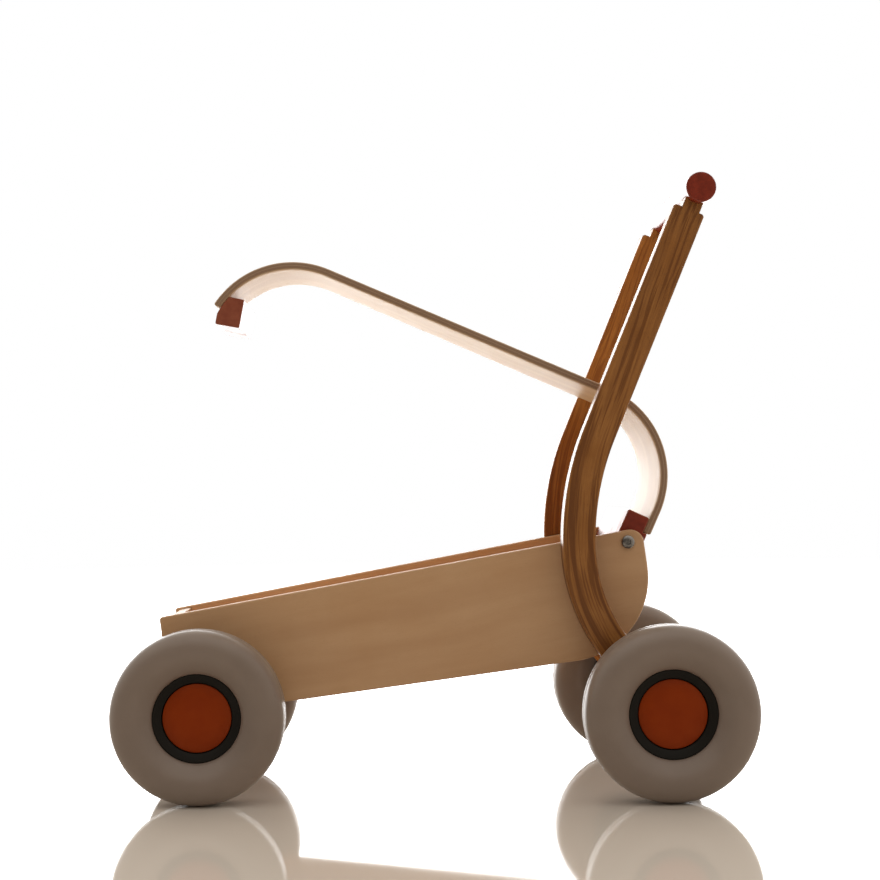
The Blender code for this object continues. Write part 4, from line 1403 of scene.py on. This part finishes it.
def upright_line():
    """Stations of an upright from its round foot to the tip of its tenon."""
    foot_up = direction(UPRIGHT_START)
    line = []
    for step in range(FOOT_STEPS):
        angle = QUARTER * step / FOOT_STEPS
        place = REAR_AXLE - UPRIGHT_WIDTH / 2 * math.cos(angle) * foot_up
        line.append((place, UPRIGHT_START, max(math.sin(angle), FOOT_TIP)))
    for step in range(FOOT_RUN_STEPS):
        line.append((REAR_AXLE + UPRIGHT_FOOT_RUN * step / FOOT_RUN_STEPS * foot_up, UPRIGHT_START, 1.0))
    line += [(*station, 1.0) for station in UPRIGHT_BENDS[1:-1]]
    run_start, run_end = UPRIGHT_BENDS[-2][0], SHOULDER - EASE * TENON_UP
    for step in range(1, TOP_RUN_STEPS + 1):
        line.append((run_start.lerp(run_end, step / TOP_RUN_STEPS), TENON_HEADING, 1.0))
    line.append((SHOULDER, TENON_HEADING, (UPRIGHT_WIDTH - 2 * EASE) / UPRIGHT_WIDTH))
    for rise in (GAP / 10, TENON_LENGTH):
        line.append((TENON_FOOT + rise * TENON_UP, TENON_HEADING, TENON_WIDTH / UPRIGHT_WIDTH))
    return [(*station, 0.0) for station in line]


def make_uprights():
    """Bentwood uprights, planed to the panels' splay and bored for the rear axle and their screws."""
    line = upright_line()
    inner, outer = UPRIGHT_FACES
    halves = (outer - inner) / 2, (outer - inner) / 2
    front, back = PANEL_LENGTH / 2, PANEL_LENGTH * 1.5
    seat = [on_panel(front, -GAP), on_panel(back, -GAP)]
    seat += [on_panel(back, PANEL_LENGTH), on_panel(front, PANEL_LENGTH)]
    for name, side in SIDES.items():
        wood = upright_woods[name]
        middle = side * (inner + outer) / 2
        mesh = bent(f"{name}_upright", line, middle, halves, UPRIGHT_WIDTH, EASE, UPRIGHT_COLUMNS, wood)
        bore = placed(rod(AXLE_RADIUS + GAP, -AXLE_SPACING, AXLE_SPACING), shifted(REAR_AXLE))
        waste = [cutter(seat, flat(0), splayed(side, -GAP)), bore]
        mesh = carved(mesh, waste + screw_holes(upright_screw_places(side), UPRIGHT_SCREW_LENGTH))
        grain_on_bend(mesh, UPRIGHT_BENDS)
        finish_piece(f"{name}_upright", mesh, wood, "frame", "laminated_bentwood", f"upright_{name}")


def make_push_bar():
    """Round push bar with rubbed rims, mortised over the uprights' tenons."""
    radius, end = HANDLE_RADIUS, HANDLE_HALF_LENGTH
    rim = rounded([(0, end, 0), (radius, end, EASE), (radius, 0, 0)], closed=False)
    half = [(0, end), (radius - HANDLE_RIM, end), *(tuple(point) for point in rim[1:-1])]
    half.append((radius, end - HANDLE_RIM))
    mesh = turned("push_bar", half + [(r, -y) for r, y in reversed(half)], red_lacquer, BAR_STEPS)
    x, y, z = coordinates(mesh).T
    from_rim = np.hypot(radius - np.hypot(x, z), end - np.abs(y))
    write_numbers(mesh, edge=np.clip(1.0 - from_rim / HANDLE_WEAR, 0.0, 1.0))
    placed(mesh, shifted(TENON_FOOT + HANDLE_RISE * TENON_UP))
    across = (TENON_WIDTH / 2 + GAP) * TENON_BACK
    tip = TENON_FOOT + (TENON_LENGTH + GAP) * TENON_UP
    mouth = TENON_FOOT - GAP * TENON_UP
    outline = [mouth + across, tip + across, tip - across, mouth - across]
    low, high = widened(UPRIGHT_FACES, GAP)
    mesh = carved(mesh, [cutter(outline, flat(side * low), flat(side * high)) for side in SIDES.values()])
    finish_piece("push_bar", mesh, red_lacquer, "frame", "red_lacquer", "handle_bar")


# Bow

BOW_MOVES = [(STRIP_TAIL, 0), (STRIP_BEND_RADIUS, STRIP_REAR_BEND), (STRIP_RUN, 0)]
BOW_PLACE = shifted(PIVOT)
BOW_UP = direction(STRIP_HEADING)
BOW_OUT = direction(STRIP_HEADING - QUARTER)
BOW_BEND_START, BOW_BEND_HEADING = centre_line(STRIP_START, STRIP_HEADING, BOW_MOVES)[-1]
BOW_FRONT_CENTRE = BOW_BEND_START + STRIP_BEND_RADIUS * direction(BOW_BEND_HEADING + QUARTER)
BOW_TIP = BOW_BEND_HEADING + STRIP_FRONT_BEND - QUARTER
STRIP_MIDDLE = STRIP_START.dot(BOW_OUT)


def bow_screw_places():
    """Heads of the four screws through the strip's ends, from the pivot, with the way that each faces."""
    rise = STRIP_THICKNESS / 2 - SCREW_SINK
    rear = BOW_SCREW_REAR_HEIGHT * BOW_UP + (STRIP_MIDDLE + rise) * BOW_OUT
    front_out = direction(BOW_TIP - BOW_SCREW_FRONT_TURN)
    front = BOW_FRONT_CENTRE + (STRIP_BEND_RADIUS + rise) * front_out
    rows = (rear, BOW_OUT, BOW_SCREW_REAR_SPREAD), (front, front_out, BOW_SCREW_FRONT_SPREAD)
    return [
        (Vector((spot.x, side * spread / 2, spot.y)), Vector((out.x, 0, out.y)))
        for spot, out, spread in rows
        for side in SIDES.values()
    ]


def strip_end(place, heading, inward):
    """Stations that round one end of the strip, from its very end inward."""
    line = []
    for step in range(EASE_STEPS + 1):
        angle = QUARTER * step / EASE_STEPS
        loss = STRIP_EASE * (1 - math.sin(angle))
        reach = inward * STRIP_EASE * (1 - math.cos(angle))
        share = (STRIP_THICKNESS - 2 * loss) / STRIP_THICKNESS
        line.append((place + reach * direction(heading), heading, share, loss))
    return line


def make_bow_strip():
    """Bent plywood strip with two opposed hooks, narrowing towards the front."""
    bends = centre_line(STRIP_START, STRIP_HEADING, BOW_MOVES + [(STRIP_BEND_RADIUS, STRIP_FRONT_BEND)])
    line = strip_end(*bends[0], 1)
    for place, heading in bends[1:-1]:
        before = line[-1][0]
        parts = math.ceil((place - before).length / STRIP_STEP)
        line += [(before.lerp(place, part / parts), heading, 1.0, 0.0) for part in range(1, parts + 1)]
    line += reversed(strip_end(*bends[-1], -1))
    halves = STRIP_REAR_HALF_WIDTH, STRIP_FRONT_HALF_WIDTH
    mesh = bent("bow", line, 0.0, halves, STRIP_THICKNESS, STRIP_EASE, STRIP_COLUMNS, bow_ply)
    mesh = carved(mesh, screw_holes(bow_screw_places(), BOW_SCREW_LENGTH))
    normals = np.zeros(len(mesh.vertices) * 3)
    mesh.vertex_normals.foreach_get("vector", normals)
    # Faces square to Y are the strip's sawn edges, which the finish darkens with painted shade
    write_numbers(mesh, sawn=np.abs(normals[1::3]))
    grain_on_bend(mesh, bends)
    finish_piece("bow", placed(mesh, BOW_PLACE), bow_ply, "bow", "bent_plywood_strip", "bow_strip")


def make_bow_bar(name, outline, half, waste, lacquer, node):
    """One red bar across the bow, with its waste taken out."""
    mesh = carved(planed(name, outline, flat(-half), flat(half), EASE / 2), waste)
    finish_piece(name, placed(mesh, BOW_PLACE), lacquer, "bow", "red_lacquer", node)


def make_bow_bars():
    """Red bars inside the strip's two ends: one on the pivot bolts, one notched for the front hook."""
    back = STRIP_MIDDLE - STRIP_THICKNESS / 2 - GAP
    ledge = STRIP_START.dot(BOW_UP) - GAP
    ledge_back = back + PIVOT_BAR_LEDGE
    corners = [
        (PIVOT_BAR_TOP, -PIVOT_BAR_FRONT, BAR_EDGE_RADIUS),
        (PIVOT_BAR_TOP, back, BAR_EDGE_RADIUS),
        (ledge, back, LEDGE_CORNER_RADIUS),
        (ledge, ledge_back, BAR_EDGE_RADIUS),
        (-PIVOT_BAR_FRONT, ledge_back, PIVOT_BAR_FOOT_RADIUS),
        (-PIVOT_BAR_FRONT, -PIVOT_BAR_FRONT, PIVOT_BAR_FOOT_RADIUS),
    ]
    outline = rounded([(*(up * BOW_UP + out * BOW_OUT), radius) for up, out, radius in corners])
    waste = screw_holes(bow_screw_places(), BOW_SCREW_LENGTH)
    for side in SIDES.values():
        place = shifted((0, 0), side * (PIVOT_HALF_WIDTH + BOLT_STANDOFF))
        waste.append(placed(rod(BOLT_BORE, -BOLT_LENGTH - GAP, 0), place @ facing_out(side)))
    make_bow_bar("bow_hinge_bar", outline, STRIP_REAR_HALF_WIDTH, waste, red_lacquer, "bow_pivot_bar")

    corner = FRONT_BAR_CORNER
    across = FRONT_BAR_SIZE[0] * direction(FRONT_BAR_TILT)
    rise = FRONT_BAR_SIZE[1] * direction(FRONT_BAR_TILT + QUARTER)
    places = [corner, corner + across, corner + across + rise, corner + rise]
    outline = rounded([(*place, BAR_EDGE_RADIUS) for place in places])
    span = BOW_TIP - STRIP_FRONT_BEND / 2, BOW_TIP + STRIP_FRONT_BEND / 2
    notch = arc(BOW_FRONT_CENTRE, STRIP_BEND_RADIUS - STRIP_THICKNESS / 2 - GAP, *span)
    notch += arc(BOW_FRONT_CENTRE, STRIP_BEND_RADIUS * 2, *reversed(span))
    waste = [cutter(notch, flat(-STRIP_REAR_HALF_WIDTH), flat(STRIP_REAR_HALF_WIDTH))]
    waste += screw_holes(bow_screw_places(), BOW_SCREW_LENGTH)
    # The front bar takes the paler lacquer copy: painted light
    make_bow_bar("bow_nose_bar", outline, STRIP_FRONT_HALF_WIDTH, waste, glare_lit_lacquer, "bow_front_bar")


# Fasteners

def cross_screw(length):
    """Countersunk screw along -Y with a cross recess, its head's top at the origin."""
    profile = [
        (0, 0),
        (SCREW_HEAD_RADIUS - GAP, 0),
        (SCREW_HEAD_RADIUS, -GAP / 2),
        (SCREW_HEAD_RADIUS, -SCREW_SINK),
        (SCREW_SHANK_RADIUS, -SCREW_HEAD_DEPTH),
        (SCREW_SHANK_RADIUS, SCREW_SHANK_RADIUS - length),
        (0, -length),
    ]
    reach, half, depth = SCREW_SLOT
    foot = reach * SCREW_SLOT_TAPER
    outline = [(-reach, depth), (-foot, -depth), (foot, -depth), (reach, depth)]
    slots = []
    for turn in (0, QUARTER):
        stood = Matrix.Rotation(turn, 4, "Y") @ Matrix.Rotation(-QUARTER, 4, "X")
        slots.append(placed(cutter(outline, flat(-half), flat(half)), stood))
    return carved(turned("screw", profile, steel, SCREW_STEPS), slots)


def pivot_bolt():
    """Button-head bolt along -Y with a hexagon socket, the head's seat at the origin."""
    head = BOLT_HEAD_HEIGHT
    shares = [step / BOLT_DOME_STEPS for step in range(BOLT_DOME_STEPS + 1)]
    profile = [(BOLT_HEAD_RADIUS * share, head * (1 - BOLT_DOME * share**3)) for share in shares]
    profile += [
        (BOLT_HEAD_RADIUS, GAP),
        (BOLT_HEAD_RADIUS - GAP, 0),
        (BOLT_RADIUS, 0),
        (BOLT_RADIUS, -BOLT_LENGTH + GAP),
        (BOLT_RADIUS - GAP, -BOLT_LENGTH),
        (0, -BOLT_LENGTH),
    ]
    socket = rod(BOLT_SOCKET_RADIUS, head - BOLT_SOCKET_DEPTH, head * 2, BOLT_SOCKET_SIDES)
    placed(socket, Matrix.Rotation(math.pi / ROD_STEPS, 4, "Y"))
    return carved(turned("pivot_bolt", profile, steel), [socket])


def make_fastened(name, mesh, places, base, body, nodes, finish=steel):
    """Fasteners of one kind on one body, as one piece."""
    pattern = linked("pattern", mesh)
    spots, facing = zip(*places)
    points = loose_points(name, spots, facing=[tuple(outward) for outward in facing])
    made = grown(FASTENED, name, points, pattern, fastener=pattern, material=finish)
    finish_piece(name, placed(made, base), finish, body, "zinc_steel", *nodes)


def sleeve(bore, radius, low, high):
    """Closed section of a plain sleeve with broken edges."""
    return rounded([(bore, low, GAP), (radius, low, GAP), (radius, high, GAP), (bore, high, GAP)])


def make_fasteners():
    """Screws, pivot bolts and the washers between the bow and the panels."""
    rest = Matrix.Identity(4)
    places = [place for side in SIDES.values() for place in upright_screw_places(side)]
    nodes = [f"upright_screw_{name}_{count}" for name in SIDES for count in (1, 2)]
    make_fastened("upright_screws", cross_screw(UPRIGHT_SCREW_LENGTH), places, rest, "frame", nodes)
    nodes = [f"beam_screw_{name}" for name in SIDES]
    make_fastened("beam_screws", cross_screw(BEAM_SCREW_LENGTH), beam_screw_places(), rest, "frame", nodes)
    nodes = [f"bow_screw_{end}_{name}" for end in ("rear", "front") for name in SIDES]
    make_fastened("bow_screws", cross_screw(BOW_SCREW_LENGTH), bow_screw_places(), BOW_PLACE, "bow", nodes)
    seat = PIVOT_HALF_WIDTH + BOLT_STANDOFF
    places = [(Vector((0, side * seat, 0)), Vector((0, side, 0))) for side in SIDES.values()]
    nodes = [f"pivot_bolt_{name}" for name in SIDES]
    make_fastened("pivot_bolts", pivot_bolt(), places, BOW_PLACE, "bow", nodes, bolt_steel)
    washer = sleeve(BOLT_BORE, PIVOT_WASHER_RADIUS, *PIVOT_WASHER_FACES)
    for name, side in SIDES.items():
        piece = f"{name}_hinge_washer"
        mesh = placed(turned(piece, washer, nylon), BOW_PLACE @ facing_out(side))
        finish_piece(piece, mesh, nylon, "bow", "white_nylon", f"pivot_washer_{name}")


# Wheels

def tyre_profile():
    """Closed section of a balloon tyre: bead lip, bulging sidewall, round shoulder and a moulding line."""
    seat = RIM_RADIUS + GAP
    bead, widest, tread = TYRE_BEAD_WIDTH / 2, TYRE_WIDTH / 2, TREAD_FLAT / 2
    half = [(seat, bead - TYRE_LIP), (seat + TYRE_LIP * LIP_ROLL[0], bead - TYRE_LIP * LIP_ROLL[1])]
    for step in range(1, SIDEWALL_STEPS):
        share = step / SIDEWALL_STEPS
        radius = seat + (TYRE_SHOULDER_RADIUS - seat) * share
        half.append((radius, bead + (widest - bead) * math.sin(share * QUARTER)))
    for step in range(SHOULDER_STEPS + 1):
        angle = QUARTER * step / SHOULDER_STEPS
        rise = math.sin(angle) ** (2 / TYRE_SQUARENESS)
        inward = abs(math.cos(angle)) ** (2 / TYRE_SQUARENESS)
        radius = TYRE_SHOULDER_RADIUS + (WHEEL_RADIUS - TYRE_SHOULDER_RADIUS) * rise
        half.append((radius, tread + (widest - tread) * inward))
    groove = WHEEL_RADIUS - PARTING_GROOVE
    half += [
        (WHEEL_RADIUS, 3 * PARTING_WIDTH),
        (groove, 2 * PARTING_WIDTH),
        (groove, 1.5 * PARTING_WIDTH),
        (WHEEL_RADIUS, PARTING_WIDTH),
    ]
    return half + [(radius, -y) for radius, y in reversed(half)]


def core_profile():
    """Closed section of the wheel core: rim, dished ring, cap pocket, bore and inboard hub tube."""
    bead = TYRE_BEAD_WIDTH / 2 - GAP
    bore = BUSH_RADIUS + GAP
    ring_inner = bead - RING_DISH
    return rounded(
        [
            (RIM_RADIUS, bead, MOULD_ROUND),
            (POCKET_RADIUS, ring_inner, MOULD_ROUND),
            (POCKET_RADIUS, POCKET_FLOOR, GAP),
            (bore, POCKET_FLOOR, GAP),
            (bore, HUB_TUBE_END, GAP),
            (HUB_TUBE_RADIUS, HUB_TUBE_END, MOULD_ROUND),
            (HUB_TUBE_RADIUS + MOULD_DRAFT, CORE_WEB, MOULD_ROUND * 2),
            (POCKET_RADIUS, CORE_WEB, MOULD_ROUND * 2),
            (POCKET_RADIUS + MOULD_DRAFT, -ring_inner, MOULD_ROUND),
            (RIM_RADIUS, -bead, MOULD_ROUND),
        ]
    )


def cap_profile():
    """Section of the domed hub cap with its clip skirt, from the axis out and back."""
    edge = CAP_FACE - CAP_DOME
    under = edge - CAP_EDGE
    skirt_outer = CAP_RADIUS - CAP_SKIRT_INSET
    skirt_inner = skirt_outer - CAP_WALL
    shares = [math.sin(QUARTER * step / CAP_STEPS) for step in range(CAP_STEPS - 1)]
    dome = [(CAP_RADIUS * share, CAP_FACE - CAP_DOME * share**4) for share in shares]
    corners = [
        (*dome[-1], 0),
        (CAP_RADIUS, edge + GAP, MOULD_ROUND),
        (CAP_RADIUS, under, GAP),
        (skirt_outer, under, 0),
    ]
    skirt = [
        (skirt_outer, CAP_SKIRT_END),
        (skirt_inner, CAP_SKIRT_END),
        (skirt_inner, under),
        (0, CAP_FACE - CAP_WALL),
    ]
    return dome + rounded(corners, closed=False)[1:] + skirt


def bush_profile():
    """Closed section of the flanged bearing bush."""
    flange_top = HUB_TUBE_END - GAP
    flange_end = flange_top - BUSH_FLANGE
    return rounded(
        [
            (AXLE_BORE, BUSH_OUTER_END, GAP),
            (AXLE_BORE, flange_end, GAP),
            (BUSH_FLANGE_RADIUS, flange_end, GAP),
            (BUSH_FLANGE_RADIUS, flange_top, GAP),
            (BUSH_RADIUS, flange_top, 0),
            (BUSH_RADIUS, BUSH_OUTER_END, GAP),
        ]
    )


def make_axle(end, x, half_track):
    """Steel axle with broken ends."""
    reach = half_track + AXLE_END
    corners = [(0, -reach, 0), (AXLE_RADIUS, -reach, GAP * 2), (AXLE_RADIUS, reach, GAP * 2), (0, reach, 0)]
    mesh = turned(f"{end}_axle_rod", rounded(corners, closed=False), steel)
    placed(mesh, shifted((x, WHEEL_RADIUS)))
    finish_piece(f"{end}_axle_rod", mesh, steel, "frame", "zinc_steel", f"{end}_axle")


def make_wheels():
    """Axles and four wheels, each a tyre, core, hub cap and bush that turn together on a fixed spacer."""
    spacer = sleeve(AXLE_BORE, SPACER_RADIUS, *SPACER_FACES)
    parts = [
        ("tyre", "tyre", tyre_profile(), WHEEL_STEPS, tyre_rubber, "grey_tyre"),
        ("core", "wheel_core", core_profile(), WHEEL_STEPS, core_plastic, "black_plastic"),
        ("hub_cap", "hub_cap", cap_profile(), WHEEL_STEPS, cap_plastic, "orange_plastic"),
        ("bush", "wheel_bush", bush_profile(), ROD_STEPS, nylon, "white_nylon"),
        ("spacer", "wheel_spacer", spacer, ROD_STEPS, nylon, "white_nylon"),
    ]
    for end, (x, half_track) in ENDS.items():
        make_axle(end, x, half_track)
        for name, side in SIDES.items():
            tag = f"{end}_{name}"
            place = shifted((x, WHEEL_RADIUS), side * half_track) @ facing_out(side)
            for part, node, profile, steps, finish, slot in parts:
                mesh = turned(part, profile, finish, steps)
                if part == "core":
                    outer = POCKET_RADIUS + MOULD_DRAFT / 2
                    mesh = grown(RIBBED, part, mesh, outer_radius=outer, material=finish)
                body = "frame" if part == "spacer" else f"wheel_{tag}"
                finish_piece(f"{tag}_{part}", placed(mesh, place), finish, body, slot, f"{node}_{tag}")
            axle_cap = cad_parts[f"axle_cap_{tag}"].data.materials
            axle_cap.clear()
            axle_cap.append(steel)


# Studio

def make_camera():
    """Camera at the photograph's place, angle and lens."""
    data = bpy.data.cameras.new("camera")
    data.sensor_width = SENSOR_WIDTH
    data.lens = FOCAL_PIXELS / PHOTO_PIXELS * SENSOR_WIDTH
    level = math.cos(CAMERA_PITCH)
    ahead = Vector((math.sin(CAMERA_YAW) * level, math.cos(CAMERA_YAW) * level, math.sin(CAMERA_PITCH)))
    turn = ahead.to_track_quat("-Z", "Y").to_matrix() @ Matrix.Rotation(CAMERA_ROLL, 3, "Z")
    scene.camera = linked("camera", data)
    scene.camera.matrix_world = Matrix.Translation(CAMERA_PLACE) @ turn.to_4x4()


def make_floor():
    """A pale glossy floor that fades out far from the object."""
    solid = bmesh.new()
    bmesh.ops.create_grid(solid, x_segments=1, y_segments=1, size=FLOOR_HALF_SIZE)
    floor = linked("studio_floor", to_mesh(solid, "studio_floor"))
    material, shader, place = new_finish("studio_floor_gloss")
    far = add("ShaderNodeVectorMath", {0: place}, "Value", operation="LENGTH")
    connect(
        shader,
        {
            "Base Color": FLOOR_COLOUR,
            "Roughness": stretch(noise(place, FLOOR_CLOUD_SCALE), *NOISE_SPAN, *FLOOR_ROUGHNESS),
            "Alpha": stretch(far, *FLOOR_FADE, 1.0, 0.0),
            "IOR": FLOOR_GLOSS,
        },
    )
    floor.data.materials.append(material)


def make_light():
    """Soft light: a white screen low behind, a dimmer ceiling and side, a dark front."""
    scene.world = bpy.data.worlds.new("studio_light")
    scene.world.use_nodes = True
    tree = scene.world.node_tree
    x, y, z = split(add("ShaderNodeTexCoord", {}, "Generated", tree))
    light = layered(
        FRONT_LIGHT,
        (stretch(x, *SIDE_SPAN), 1, SIDE_LIGHT),
        (stretch(y, *BACK_SPAN), 1, BACK_LIGHT),
        (stretch(z, *TOP_SPAN), 1, TOP_LIGHT),
        (stretch(y, *SCREEN_SPAN), stretch(z, *SCREEN_HEIGHT), SCREEN_LIGHT),
        (add("ShaderNodeLightPath", {}, "Is Camera Ray", tree), 1, WHITE),
    )
    connect(tree.nodes["Background"], {"Color": light})
    scene.view_settings.view_transform = "Standard"
    scene.view_settings.look = "None"


make_camera()
make_panels()
make_boards()
make_beam()
make_uprights()
make_push_bar()
make_bow_strip()
make_bow_bars()
make_fasteners()
make_wheels()
make_floor()
make_light()
